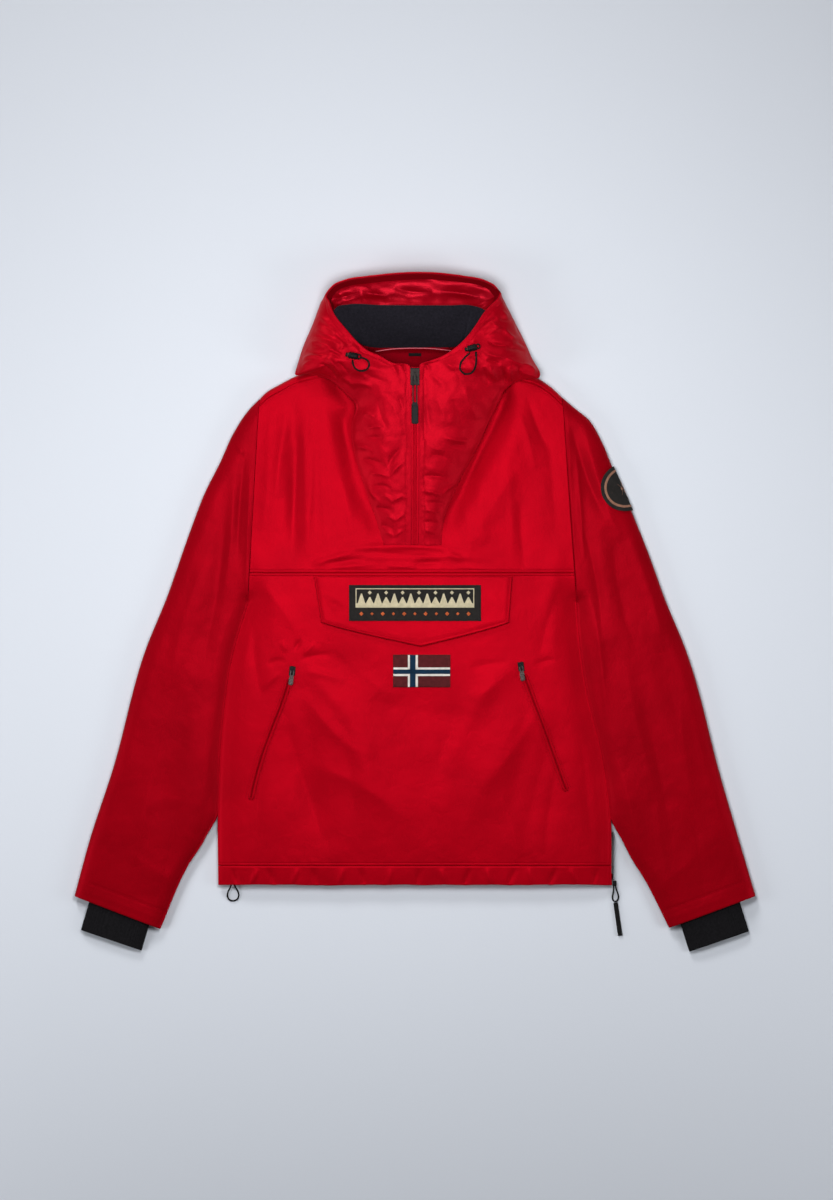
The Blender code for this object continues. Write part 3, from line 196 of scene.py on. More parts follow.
# Fleece collar band: top edge x, y, z, then lower edge x, y, z
COLLAR = (
    (-106, 394, 37, -82, 377, 21),
    (-115, 411, 37, -77, 375, 17.5),
    (-108, 424, 36, -70, 371.5, 14),
    (-92, 427.5, 34, -58, 369.5, 10.5),
    (-50, 426.5, 33, -35, 369, 9),
    (0, 426, 33, 0, 369, 9),
    (50, 426, 33, 35, 369.5, 9),
    (78, 426, 34, 54, 370, 10.5),
    (95, 420.5, 36, 64, 372.5, 14),
    (105, 409, 37, 72, 376, 17.5),
    (100, 395, 37, 76, 379, 21),
)

# Neck facing, from inside the back up to the collar's seam: y, z
NECK_FACING = ((330, 4.5), (345, 4.6), (357, 5.0), (362.5, 5.5), (368.6, 8.6))

# Large soft folds of the body's front: from x, y to x, y, half width, height, sideways bow
BODY_FOLDS = (
    (-172, 300, -176, 80, 9, -2.4, 4),
    (-150, 290, -150, 75, 8, 1.6, -4),
    (-120, 300, -84, 190, 13, -3.0, 8),
    (-84, 240, -46, 84, 11, -2.2, 4),
    (128, 312, 60, 150, 12, -3.6, -4),
    (160, 300, 112, 120, 16, 1.8, -6),
    (-95, 87, 60, 86, 4, 2.2, 4),
    (-75, 80, 75, 78, 4, -1.6, 3),
    (-105, 73, 110, 72, 5, 1.4, 6),
    (-230, 90, -190, -60, 16, 1.8, 8),
    (205, 110, 190, -70, 14, 1.8, -6),
    (-160, -75, -60, -210, 14, 1.8, 10),
    (-150, -100, -130, -300, 14, -1.8, -8),
    (140, -60, 40, -230, 16, 1.8, -10),
    (160, -100, 120, -320, 15, -1.6, 8),
    (-60, -160, -80, -340, 18, 1.2, 0),
    (40, -200, 50, -345, 16, 1.2, 0),
)
LEFT_SLEEVE_FOLDS = (
    (-262, 180, -300, -60, 14, -1.6, 8),
    (-290, 120, -345, -120, 16, 1.2, 6),
    (-300, -90, -372, -330, 16, -1.2, -6),
)
RIGHT_SLEEVE_FOLDS = (
    (212, 230, 246, 150, 12, -1.6, -4),
    (252, 190, 290, -40, 16, 1.2, -8),
    (320, -40, 402, -300, 17, 1.2, -4),
)

# Pocket openings on the front body, from the slider down: x, y
LEFT_POCKET = (
    (-174.5, -92), (-187.5, -131.3), (-199.5, -162.1), (-214.8, -204.1), (-226, -245), (-230, -264),
)
RIGHT_POCKET = (
    (151.5, -86), (164.9, -122.9), (178.5, -158.6), (191.9, -195.7), (207.3, -238.4), (212.4, -252),
)

# Flap under the yoke seam: its top's y, left and right x of its top and foot, its sides' end and its point
FLAP_TOP_Y = 48.5
FLAP_TOP_X = (-141.4, 136.6)
FLAP_FOOT_X = (-131.0, 131.5)
FLAP_FOOT_Y = -15.5
FLAP_POINT = (8.5, -49.4)
LABEL_BOX = (-92.3, -13.7, 92.5, 36.7)  # low x, low y, high x, high y
FLAG_BOX = (-30.7, -106.5, 49.7, -60.8)
BADGE_RADIUS = 33.5
BADGE_Y = 171.6

# How far the cord locks are turned about Z, in radians
LEFT_LOCK_TURN = -0.18
RIGHT_LOCK_TURN = 0.25
# Where each cord runs, from its lock, casing or slider round and back: x, y, z
LEFT_LOOP = (
    (-75.2, 353.4, 56.2), (-70.5, 352.4, 54.39), (-65.0, 348.3, 54.46), (-64.0, 342.0, 54.73),
    (-69.0, 336.2, 53.84), (-77.0, 335.3, 53.21), (-83.8, 339.5, 54.25), (-86.4, 345.0, 55.3),
    (-87.0, 350.2, 57.17),
)
RIGHT_LOOP = (
    (76.4, 360.0, 56.17), (70.0, 354.0, 54.72), (64.0, 346.0, 54.89), (63.2, 337.0, 53.53),
    (69.5, 331.0, 51.93), (78.0, 332.0, 51.57), (83.8, 339.5, 54.64), (85.4, 349.0, 55.8),
    (85.0, 361.6, 56.63),
)
HEM_LOOP = (
    (-257.0, -379.0, 4.3), (-257.8, -384.4, 4.2), (-259.5, -388.5, 2.8), (-262.3, -394.5, 1.5),
    (-262.6, -400.5, 1.2), (-259.5, -404.8, 1.2), (-254.6, -406.0, 1.2), (-249.5, -404.0, 1.2),
    (-246.9, -398.5, 1.2), (-248.6, -392.0, 1.6), (-251.2, -387.5, 3.0), (-252.6, -384.4, 4.2),
    (-253.2, -379.0, 4.3),
)
SIDE_LOOP = (
    (278.6, -386.0, 5.6), (278.4, -390.5, 3.4), (277.6, -396.0, 1.4), (276.9, -401.5, 1.3),
    (278.6, -406.0, 1.3), (282.2, -406.6, 1.3), (285.2, -402.0, 1.3), (284.4, -396.0, 1.4),
    (282.4, -390.5, 3.4), (281.4, -386.0, 5.6),
)

# The photo's scale: millimetres per pixel, and the pixel that lies at the origin
PIXEL_MM = 1.4
ORIGIN_PX = (414.9, 611.2)


def from_photo(rows):
    """Creases read off the photo, in millimetres all through.

    Their ends and sideways bow are in its pixels, half width and height in millimetres.
    """
    return tuple(
        (
            round((from_x - ORIGIN_PX[0]) * PIXEL_MM, 1), round((ORIGIN_PX[1] - from_y) * PIXEL_MM, 1),
            round((to_x - ORIGIN_PX[0]) * PIXEL_MM, 1), round((ORIGIN_PX[1] - to_y) * PIXEL_MM, 1),
            half_width, height, round(bow * PIXEL_MM, 1),
        )
        for from_x, from_y, to_x, to_y, half_width, height, bow in rows
    )


# Creases: from x, y to x, y in pixels, half width and height in millimetres, bow in pixels
FRONT_CREASES = from_photo((
    (312, 440, 306, 545, 6, 1.3, 2), (299, 430, 297, 560, 6, -1.6, -1), (288, 410, 277, 500, 8, 1.4, -2),
    (270, 415, 262, 545, 9, 0.9, 1), (294, 470, 292, 566, 5, -1.2, 0), (322, 430, 330, 560, 9, 0.9, -3),
    (340, 470, 352, 545, 6, 0.7, 2), (527, 396, 549, 450, 6, -1.6, -2), (515, 405, 535, 470, 8, 1.1, 3),
    (545, 420, 556, 540, 9, -1, 2), (521, 500, 526, 570, 6, -1.2, -2), (508, 470, 512, 560, 8, 0.9, 2),
    (480, 470, 486, 545, 10, 0.7, -3), (462, 500, 470, 560, 7, 0.6, 2), (355, 551, 311, 564, 4.5, 1.7, 1),
    (368, 557, 322, 563, 3.5, -1.3, 1), (376, 550, 446, 552, 2.2, 1.6, -1),
    (372, 556, 440, 557, 2.6, -1, 1), (440, 551, 463, 560, 3.2, 1.4, 1),
    (414, 563, 442, 562, 3.6, -1.6, 0), (385, 566, 416, 567, 2.6, 1.2, 0),
    (330, 569, 378, 565, 2.6, 0.9, 1), (455, 566, 500, 570, 3, 0.7, -1), (262, 585, 300, 640, 9, 0.8, 3),
    (252, 600, 262, 700, 9, -0.9, -3), (560, 590, 540, 660, 9, -0.9, -3), (575, 600, 582, 700, 9, 0.8, 2),
    (330, 640, 400, 700, 13, 0.9, -6), (300, 690, 370, 760, 12, 1.2, -6),
    (283, 700, 330, 850, 11, -1, -6), (262, 760, 255, 850, 8, -0.8, 0), (300, 760, 420, 830, 14, 0.9, 8),
    (340, 700, 360, 850, 14, -0.8, 0), (420, 700, 440, 840, 16, 0.7, 6),
    (470, 700, 430, 800, 15, -0.8, -6), (540, 700, 480, 790, 13, 1, 6), (560, 760, 545, 860, 9, -0.9, -3),
    (582, 740, 592, 850, 8, -0.8, 0), (500, 790, 520, 860, 10, 0.8, 2), (300, 660, 332, 655, 4, -1, 2),
    (303, 671, 345, 682, 6, 0.9, 2), (510, 662, 470, 668, 6, -0.7, -1), (505, 675, 470, 700, 8, 0.6, 2),
    (285, 660, 268, 664, 4, -0.9, -1), (281, 672, 262, 690, 5, 0.8, -1), (535, 664, 556, 660, 4, -0.8, 1),
    (295, 650, 300, 640, 2.5, -1, 0), (303, 655, 315, 643, 3, 0.8, 0), (287, 652, 281, 641, 2.5, 0.8, 0),
))
# Broad folds of the front: the same columns, all in millimetres
BROAD_FOLDS = (
    (-150, -105, -5, -335, 30, 3.0, 6), (-182, -160, -125, -345, 24, -2.6, 4),
    (-135, -50, -55, -112, 22, -2.4, 6), (165, -115, 60, -325, 28, 2.4, -6),
    (205, -140, 150, -335, 20, -2.2, -4), (-60, -120, 120, -150, 26, -1.6, -8),
    (-190, 250, -205, 110, 16, 1.6, 4), (60, 60, 175, 240, 22, 2.0, 6),
)
HEM_CREASES = from_photo((
    (232, 868, 239, 886, 2.4, -0.9, 0), (250, 886, 258, 868, 2.6, 0.8, 0),
    (268, 868, 276, 886, 3, -0.8, 0), (291, 886, 298, 868, 2.6, 0.7, 0), (312, 868, 318, 886, 3, -0.7, 0),
    (338, 886, 343, 868, 3, 0.8, 0), (360, 868, 366, 886, 2.6, -0.7, 0),
    (388, 886, 391, 868, 3.4, 0.6, 0), (420, 868, 417, 886, 3, -0.6, 0), (446, 886, 441, 868, 3, 0.7, 0),
    (470, 868, 464, 886, 2.6, -0.8, 0), (492, 886, 486, 868, 3, 0.8, 0),
    (515, 868, 508, 886, 2.6, -0.9, 0), (534, 886, 528, 868, 3, 0.8, 0),
    (556, 868, 549, 886, 2.6, -0.9, 0), (578, 886, 571, 868, 2.6, 0.8, 0),
    (598, 868, 592, 886, 2.4, -0.8, 0),
))
LEFT_SLEEVE_CREASES = from_photo((
    (246, 450, 238, 560, 6, -1.4, -2), (234, 470, 222, 600, 8, 1.2, 3), (250, 470, 246, 590, 4, 0.9, 0),
    (224, 520, 196, 680, 11, -1, 6), (205, 560, 170, 700, 12, 0.9, -6), (240, 600, 214, 760, 8, -1.2, 4),
    (228, 640, 206, 790, 7, 1.1, -2), (190, 650, 150, 800, 13, -0.9, -6), (170, 690, 128, 850, 12, 1, 5),
    (214, 770, 190, 860, 7, -0.8, 3), (150, 790, 130, 880, 10, 0.8, 0), (180, 800, 160, 900, 9, -0.8, 0),
    (120, 850, 200, 905, 12, 0.5, 4), (236, 445, 245, 455, 3, 0.9, 0),
))
RIGHT_SLEEVE_CREASES = from_photo((
    (571, 425, 606, 520, 9, -2.2, -3), (585, 430, 622, 540, 9, 1.3, -4), (580, 520, 602, 640, 8, -1.3, 5),
    (576, 450, 584, 560, 4, 0.9, 0), (612, 540, 640, 660, 11, -0.9, -5), (634, 540, 662, 650, 10, 0.9, 4),
    (592, 600, 606, 720, 6, 1.1, 2), (600, 680, 612, 790, 6, -1.2, -2), (625, 660, 660, 800, 12, 0.9, -4),
    (640, 700, 672, 850, 11, -1, 4), (680, 690, 700, 830, 11, 0.8, -4), (618, 760, 640, 860, 8, 1, 2),
    (690, 800, 704, 900, 9, -0.8, 2), (655, 790, 668, 900, 9, 0.8, 0), (720, 830, 640, 900, 12, 0.5, 4),
))
LEFT_HOOD_CREASES = from_photo((
    (372, 388, 350, 384, 3.5, 1.6, -2), (364, 414, 374, 418, 3, 1.6, 1),
    (367, 429, 384, 427, 3.2, 1.9, 1), (366, 438, 383, 439, 3, -1.6, 1), (354, 445, 373, 452, 3.6, 2, 1),
    (362, 460, 388, 470, 4, -2.6, 3), (388, 470, 403, 448, 4, -2.2, 3), (369, 474, 390, 478, 3.2, 2, 2),
    (390, 478, 405, 462, 3.2, 1.6, 2), (372, 487, 392, 489, 3, -1.6, 2), (362, 487, 381, 505, 3, 1.6, 2),
    (381, 495, 392, 503, 2.6, 1.6, 2), (392, 503, 404, 496, 2.6, 1.5, 1),
    (372, 509, 394, 512, 3.2, -1.5, 2), (360, 498, 382, 524, 2.8, 1.2, 2),
    (386, 515, 395, 522, 2.4, 1.4, 1), (395, 522, 406, 514, 2.4, 1.3, 1),
    (376, 526, 394, 530, 2.8, -1.3, 2), (382, 531, 394, 537, 2.2, 1.1, 1),
    (394, 537, 404, 531, 2.2, 1, 1), (388, 400, 402, 436, 5, 1.1, 3), (396, 392, 404, 414, 4, -1, 1),
    (378, 398, 388, 432, 5, -1.4, -2), (346, 392, 352, 432, 6, -1, -2), (356, 402, 366, 432, 5, 1, 2),
    (319, 324, 336, 334, 2.6, -1.8, 1), (336, 334, 352, 346, 2.6, -1.8, -1),
    (316, 331, 334, 340, 2.8, 1.6, 1), (311, 336, 341, 346, 3, -2.2, 2), (308, 343, 336, 351, 3.2, 2, 2),
    (306, 351, 332, 356, 3, -2.2, -1), (303, 360, 322, 358, 3.2, 2.4, 2),
    (324, 349, 343, 357, 2.6, 1.6, 1), (326, 358, 341, 377, 3.2, 2.6, 2),
    (320, 364, 336, 380, 3, -2.8, 2), (333, 361, 350, 378, 2.8, -1.6, 2),
    (341, 377, 356, 388, 3.4, 1.8, 1), (302, 368, 316, 361, 2.8, 1.6, 1),
    (352, 362, 370, 380, 4, 1.1, -2), (362, 372, 392, 384, 4.5, -1, -2), (388, 360, 398, 378, 3, 1, 1),
    (401, 362, 406, 372, 1.8, -1.2, 0), (396, 358, 404, 366, 1.8, 1, 0), (330, 352, 341, 359, 2, -1.4, 0),
    (339, 351, 346, 346, 2.2, 1.4, 0), (350, 345, 360, 352, 3, 1.2, 1), (318, 316, 330, 326, 3, 1.2, 1),
    (313, 345, 322, 347, 2, -1.2, 0),
))
RIGHT_HOOD_CREASES = from_photo((
    (444, 438, 470, 441, 3, 1.7, -1), (448, 447, 466, 446, 3.2, -1.4, 1),
    (420, 477, 448, 480, 3.8, -2.2, 2), (418, 492, 442, 496, 3, 2, 2), (442, 496, 456, 485, 3, 1.7, 2),
    (424, 503, 446, 505, 3.2, -1.4, 1), (419, 511, 440, 514, 2.6, 1.3, 2),
    (422, 522, 438, 524, 2.6, -1.2, 1), (420, 531, 436, 533, 2.2, 1.1, 1),
    (430, 455, 452, 462, 4.5, -1.2, 2), (424, 440, 444, 452, 5, 1.2, -2), (436, 392, 452, 425, 6, 1, -3),
    (452, 400, 462, 430, 5, -1.1, 2), (465, 385, 478, 420, 6, 1.2, -3), (424, 394, 430, 436, 5, -1, 1),
    (430, 375, 446, 392, 5, 0.9, 2), (479, 330, 498, 319, 2.6, -1.8, 1),
    (498, 319, 513, 319, 2.6, -1.6, -1), (484, 337, 503, 329, 2.8, 1.8, 1),
    (503, 329, 520, 342, 2.8, 1.8, -2), (488, 343, 512, 345, 2.8, -2.2, -2),
    (482, 352, 506, 358, 3, 1.8, -2), (506, 350, 526, 352, 3, -1.8, 2),
    (486, 361, 500, 366, 2.6, -1.8, 1), (489, 365, 497, 382, 3.6, 3, -1),
    (503, 368, 506, 386, 2.2, -2.6, 0), (509, 368, 513, 384, 3, 2.4, -1),
    (518, 366, 520, 380, 2.2, -2, 0), (524, 364, 536, 373, 3, 2, 1), (484, 368, 488, 386, 3, -1.8, 0),
    (505, 357, 528, 366, 3, 1.6, -2), (512, 340, 528, 348, 2.6, -1.6, 1),
    (476, 342, 466, 348, 2.4, 1.2, 0), (470, 358, 478, 372, 3, 1.2, 1), (440, 360, 455, 372, 3, 0.9, 1),
    (424, 362, 430, 372, 1.8, -1.2, 0), (500, 310, 510, 322, 2.6, 1.2, 0),
    (490, 322, 500, 330, 2.4, 1.2, 0), (515, 326, 522, 336, 2.4, -1.2, 0),
))
LINING_CREASES = from_photo((
    (318, 300, 360, 292, 6, 2.2, -2), (345, 284, 372, 291, 6, -1.6, 3), (362, 293, 390, 298, 5, -1.8, 1),
    (395, 288, 432, 292, 6, 2, -2), (425, 278, 470, 284, 8, 1.6, -3), (440, 292, 480, 298, 6, -1.6, 2),
    (380, 303, 430, 305, 4, 1.4, 0), (466, 286, 492, 294, 5, 1.4, 2), (330, 290, 345, 300, 4, -1.2, 1),
))
FLAP_CREASES = from_photo((
    (322, 592, 345, 608, 6, 0.7, 2), (340, 622, 380, 634, 6, -0.6, 2), (490, 590, 508, 612, 5, 0.7, -2),
    (470, 628, 500, 620, 6, 0.6, 2), (400, 632, 440, 636, 7, 0.5, 2), (326, 602, 336, 620, 4, -0.6, 0),
))


# ---------------------------------------------------------------- curves, heights and noise

LINE_POINTS = 60  # along a side, armhole or notch line where it is looked up


def along_line(line):
    """How far along a line each of its points lies."""
    return np.concatenate([[0], np.cumsum(np.linalg.norm(np.diff(line, axis=0), axis=1))])


def point_at(line, along, where):
    """The line's point at a distance along it, or the rows of x, y and z at several."""
    return np.array([np.interp(where, along, axis) for axis in line.T])


def unit(vectors):
    """The same directions at length 1."""
    return vectors / (np.linalg.norm(vectors, axis=-1, keepdims=True) + 1e-12)


def smooth_path(rows, count):
    """Points at even steps along a smooth curve through the rows."""
    rows = np.array(rows, float)
    along = along_line(rows[:, :3])
    slope = np.gradient(rows, along, axis=0)
    at = np.linspace(0, along[-1], count)
    low = np.clip(np.searchsorted(along, at, side="right") - 1, 0, len(rows) - 2)
    span = (along[low + 1] - along[low])[:, None]
    t = (at[:, None] - along[low][:, None]) / span
    return (
        (2 * t**3 - 3 * t**2 + 1) * rows[low]
        + (t**3 - 2 * t**2 + t) * span * slope[low]
        + (3 * t**2 - 2 * t**3) * rows[low + 1]
        + (t**3 - t**2) * span * slope[low + 1]
    )


def other_at(line, axis, value):
    """A line's other coordinate in plan, where it has this value along the axis."""
    fine = smooth_path(line, LINE_POINTS)
    order = np.argsort(fine[:, axis])
    return np.interp(value, fine[order, axis], fine[order, 1 - axis])


def x_at(line, y):
    return other_at(line, 1, y)


def y_at(line, x):
    return other_at(line, 0, x)


def distance_to(line, x, y):
    """Distance in plan from each point to the line."""
    fine = smooth_path(line, LINE_POINTS)
    best = np.full(np.shape(x), 1e9)
    for (ax, ay), (bx, by) in zip(fine[:-1], fine[1:]):
        run = (bx - ax) ** 2 + (by - ay) ** 2
        t = np.clip(((x - ax) * (bx - ax) + (y - ay) * (by - ay)) / run, 0, 1)
        best = np.minimum(best, np.hypot(x - ax - t * (bx - ax), y - ay - t * (by - ay)))
    return best


def rise(share):
    """A quarter circle from 0 at the edge to 1 from share 1 on."""
    return np.sqrt(1 - np.clip(1 - share, 0, 1) ** 2)


def smooth_step(low, high, value):
    t = np.clip((value - low) / (high - low), 0, 1)
    return t * t * (3 - 2 * t)


def summed_folds(table, x, y, fading, profile):
    """Every fold of a table at each point. It fades along its run and has its profile across it."""
    total = np.zeros(np.shape(x))
    for from_x, from_y, to_x, to_y, half_width, height, bow in table:
        run_x, run_y = to_x - from_x, to_y - from_y
        length = math.hypot(run_x, run_y)
        fade = fading(((x - from_x) * run_x + (y - from_y) * run_y) / length**2)
        across = ((y - from_y) * run_x - (x - from_x) * run_y) / length - bow * fade
        total = total + height * fade * profile(across / half_width)
    return total


def fold_height(folds, x, y):
    """The solids' own large folds."""
    return summed_folds(
        folds, x, y, lambda along: np.clip(4 * along * (1 - along), 0, 1), lambda across: np.exp(-(across**2))
    )


def crease_height(table, x, y, scale=1.0):
    """Finer creases: each row is a ridge or a trough that fades out at both ends."""
    return scale * summed_folds(
        table, x, y, lambda along: np.sin(math.pi * np.clip(along, 0, 1)) ** 0.8,
        lambda across: np.exp(-np.abs(across) ** 1.4),
    )


LATTICE = 97


def noise(x, y, size, seed):
    """Smooth gradient noise of about -1 to 1, whose bumps are about that size."""
    angle = np.random.default_rng(seed).uniform(0, 2 * math.pi, (LATTICE, LATTICE))
    u, v = x / size, y / size
    i, j = np.floor(u).astype(int), np.floor(v).astype(int)
    f, g = u - i, v - j
    total = np.zeros(np.shape(x))
    for di in (0, 1):
        for dj in (0, 1):
            near_u, near_v = 1 - np.abs(f - di), 1 - np.abs(g - dj)
            weight = near_u**3 * (6 * near_u**2 - 15 * near_u + 10)
            weight = weight * near_v**3 * (6 * near_v**2 - 15 * near_v + 10)
            turn = angle[(i + di) % LATTICE, (j + dj) % LATTICE]
            total = total + weight * (np.cos(turn) * (f - di) + np.sin(turn) * (g - dj))
    return 1.6 * total


def groove(distance, depth, half_width):
    return -depth * np.exp(-((distance / half_width) ** 2))


def side_distance(x, y):
    return np.minimum(distance_to(LEFT_SIDE, x, y), distance_to(RIGHT_SIDE, x, y))


def front_top(x, y):
    """Height of the solid front's outer surface."""
    edge = side_distance(x, y)
    top = BODY_TOP + fold_height(BODY_FOLDS, x, y) * rise(edge / 60)
    top = top - HEM_DROP * np.clip(1 - (y - HEM_Y) / 60, 0, 1) ** 2
    return SIDE_SEAM_Z + SEAM_GAP / 2 + (top - SIDE_SEAM_Z) * rise(edge / TOP_ROUND)


def front_cloth(x, y):
    """Height of the dressed front: the solid's form, its creases and the dips of its seams."""
    x, y = np.asarray(x, float), np.asarray(y, float)
    edge = side_distance(x, y)
    fade = smooth_step(0, 30, edge)
    from_yoke, from_hem = y - YOKE_SEAM_Y, y - HEM_SEAM_Y
    calmer = 1 - 0.35 * smooth_step(0, 30, from_yoke)
    detail = crease_height(FRONT_CREASES, x, y, BODY_CREASE) * calmer + crease_height(BROAD_FOLDS, x, y)
    detail = detail + crease_height(HEM_CREASES, x, y, HEM_CREASE)
    detail = detail + 0.55 * noise(x, y, 62, 3) + 0.16 * noise(x, y, 19, 4)
    detail = detail * fade * (1 - 0.7 * np.exp(-((from_yoke / 7) ** 2)))
    seams = groove(from_yoke, 0.9, 0.9)
    for offset in (-YOKE_STITCH, YOKE_STITCH):
        seams = seams + groove(from_yoke - offset, *STITCH_DIP)
    seams = seams + groove(from_hem, 1.0, 1.0) + groove(from_hem - SEAM_STITCH, *STITCH_DIP)
    near_seam = np.exp(-(((np.abs(from_yoke) - 2.1) / 1.6) ** 2))
    pucker = 0.22 * noise(x, y * 0.25, 5.5, 7) * np.exp(-((from_yoke / 9) ** 2))
    pucker = pucker + 0.4 * noise(x + 0.4 * y, y * 0.3, 8.0, 8) * np.exp(-((from_hem / 14) ** 2))
    sides = SIDE_SLOPE * smooth_step(0, 14, edge) * (1 - rise(edge / np.where(x > 0, 105, 70)))
    sides = sides + np.where(x > 0, 3.4, 2.4) * np.exp(-((edge / 21) ** 2)) * smooth_step(0, 2.5, edge)
    return front_top(x, y) + detail + seams + 0.25 * near_seam + pucker * fade - sides - beside_hood(x, y)


def beside_hood(x, y):
    """The dip that runs along each side of the hood's fronts."""
    off = np.minimum(distance_to(LEFT_NOTCH, x, y), distance_to(RIGHT_NOTCH, x, y))
    deeper = 1.15 + 0.4 * smooth_step(-20, 60, x)
    return HOOD_DIP * deeper * np.exp(-(((off - 9) / 15) ** 2)) * smooth_step(92, 160, y)


def side_x(side, armhole, y):
    return np.where(y < UNDERARM_Y, x_at(side, y), x_at(armhole, y))


def back_under(x, y):
    """Height of the back's outer surface, which lies on the floor but at the side seams."""
    return (SIDE_SEAM_Z - SEAM_GAP / 2) * (1 - rise(side_distance(x, y) / UNDER_ROUND))


def shoulder_y(x):
    return np.where(x < 0, y_at(LEFT_SHOULDER, x), y_at(RIGHT_SHOULDER, x))


def sleeve_plan(outer, inner, share):
    """Outer and inner end of the section at a share of the sleeve's length."""
    steps = np.arange(SLEEVE_LINE_POINTS)
    return [
        point_at(smooth_path(line, len(steps)), steps, where * steps[-1])
        for line, where in ((outer, share), (inner, share**1.6))
    ]


def sleeve_heights(outer, inner, folds, x, y, under):
    """Height of a sleeve's upper surface, or of its underside."""
    from_outer = distance_to(outer, x, y)
    edge = np.minimum(from_outer, distance_to(inner, x, y))
    if under:
        near_badge = (x > 0) * np.clip(2 - np.abs(y - BADGE_Y) / 44, 0, 1) * BADGE_LIFT
        lift = near_badge * np.clip(1 - from_outer / 70, 0, 1)
        return lift + (SIDE_SEAM_Z - lift) * (1 - rise(edge / UNDER_ROUND))
    top = BODY_TOP + fold_height(folds, x, y) * rise(edge / 60)
    top = top - 1.5 * np.clip((-y - 250) / 150, 0, 1)
    return SIDE_SEAM_Z + (top - SIDE_SEAM_Z) * rise(edge / TOP_ROUND)


# ---------------------------------------------------------------- meshes

def grid_normals(grid, wrap=False):
    if wrap:
        across = np.roll(grid, -1, axis=1) - np.roll(grid, 1, axis=1)
    else:
        across = np.gradient(grid, axis=1)
    return unit(np.cross(across, np.gradient(grid, axis=0)))


def turned_up(normals, row, column):
    """The normals, all turned round if the one at this row and column points down."""
    return -normals if normals[row, column, 2] < 0 else normals


def add_object(name, data):
    made = bpy.data.objects.new(name, data)
    bpy.context.scene.collection.objects.link(made)
    return made


def mesh_object(name, points, faces, look, smooth=True):
    data = bpy.data.meshes.new(name)
    data.from_pydata(np.asarray(points, float) * MM, [], faces)
    data.materials.append(look)
    if smooth:
        data.shade_smooth()
    return add_object(name, data)


def quad_faces(rows, columns, wrap=False, keep=None):
    spans = np.arange(rows - 1), np.arange(columns if wrap else columns - 1)
    row, column = np.meshgrid(*spans, indexing="ij")
    if keep is not None:
        row, column = row[keep], column[keep]
    row, column = row.ravel(), column.ravel()
    beside = (column + 1) % columns
    low, high = row * columns, (row + 1) * columns
    return np.column_stack([low + column, low + beside, high + beside, high + column])


def ring_faces(start, count, layers):
    """Faces between rings of count points each, the first ring from point start on."""
    return [
        [low + s, low + (s + 1) % count, low + count + (s + 1) % count, low + count + s]
        for low in range(start, start + layers * count, count) for s in range(count)
    ]


def end_caps(rings, count):
    return [list(range(count))[::-1], [(rings - 1) * count + s for s in range(count)]]


def cloth_grid(name, grid, look, wrap=False, keep=None, up=True):
    """One cloth surface from a grid of points, its faces turned up, or out from its middle."""
    rows, columns = grid.shape[:2]
    faces = quad_faces(rows, columns, wrap, keep)
    corners = grid.reshape(-1, 3)[faces]
    normal = np.cross(corners[:, 2] - corners[:, 0], corners[:, 3] - corners[:, 1])
    if up:
        outward = normal[:, 2].sum()
    else:
        outward = (normal * (corners.mean(axis=1) - grid.reshape(-1, 3).mean(axis=0))).sum()
    if outward < 0:
        faces = faces[:, ::-1]
    used = np.unique(faces)
    index = np.zeros(rows * columns, int)
    index[used] = np.arange(len(used))
    return mesh_object(name, grid.reshape(-1, 3)[used], index[faces].tolist(), look)


def turned_edge(edge, onward, outward, radius, depth):
    """Rows that roll a cloth's edge over and take it back inside.

    Onward leaves the cloth, outward its face.
    """
    rows = []
    for angle in np.linspace(0, math.pi, 6)[1:]:
        rows.append(edge + onward * radius * math.sin(angle) - outward * radius * (1 - math.cos(angle)))
    rows.append(rows[-1] - onward * depth - outward * depth * 0.08)
    return np.array(rows)


def fine_steps(length, steps, pitch):
    """Fixed steps in from both ends, and even ones of about that pitch between them."""
    steps = np.array(steps, float)
    middle = max(2, int(round((length - 2 * steps[-1]) / pitch)))
    between = np.linspace(steps[-1], length - steps[-1], middle + 1)[1:-1]
    return np.concatenate([steps, between, (length - steps)[::-1]])


# How far from a piece's sides, and from its seams, its rows of points lie
SIDE_STEPS = (0, 0.5, 1.2, 2.2, 3.6, 5.4, 7.6, 10.0)
SEAM_STEPS = (0, 0.5, 1.0, 1.6, 2.3, 3.0, 3.5, 4.0, 4.5, 5.1, 6.0, 7.4)
SLEEVE_STEPS = (0, 0.5, 1.2, 2.4, 4.2, 7.0, 11.0, 16.0)
HEM_COLUMNS = 222
SLEEVE_LINE_POINTS = 200


def across_and_up(ahead):
    """Unit vectors across a thread or a chain of teeth, and up from the cloth below it."""
    side = unit(np.cross(ahead, (0, 0, 1.0)))
    return side, np.cross(side, ahead)


def tube(points, radius, sides=8, closed=False):
    """Points and faces of a round tube along a path."""
    points = np.array(points, float)
    if closed:
        ahead = np.roll(points, -1, axis=0) - np.roll(points, 1, axis=0)
    else:
        ahead = np.gradient(points, axis=0)
    side, lift = across_and_up(unit(ahead))
    angles = np.linspace(0, 2 * math.pi, sides, endpoint=False)
    rings = [points + radius * (side * math.cos(a) + lift * math.sin(a)) for a in angles]
    grid = np.array(rings).transpose(1, 0, 2)
    count = len(points)
    faces = quad_faces(count, sides, wrap=True).tolist()
    if closed:
        last = (count - 1) * sides
        faces += [[last + s, last + (s + 1) % sides, (s + 1) % sides, s] for s in range(sides)]
    else:
        faces += end_caps(count, sides)
    return grid.reshape(-1, 3), faces


STITCH_SIDES = 5
STITCH_RINGS = ((-1.0, 0.25), (-0.72, 0.9), (0.72, 0.9), (1.0, 0.25))


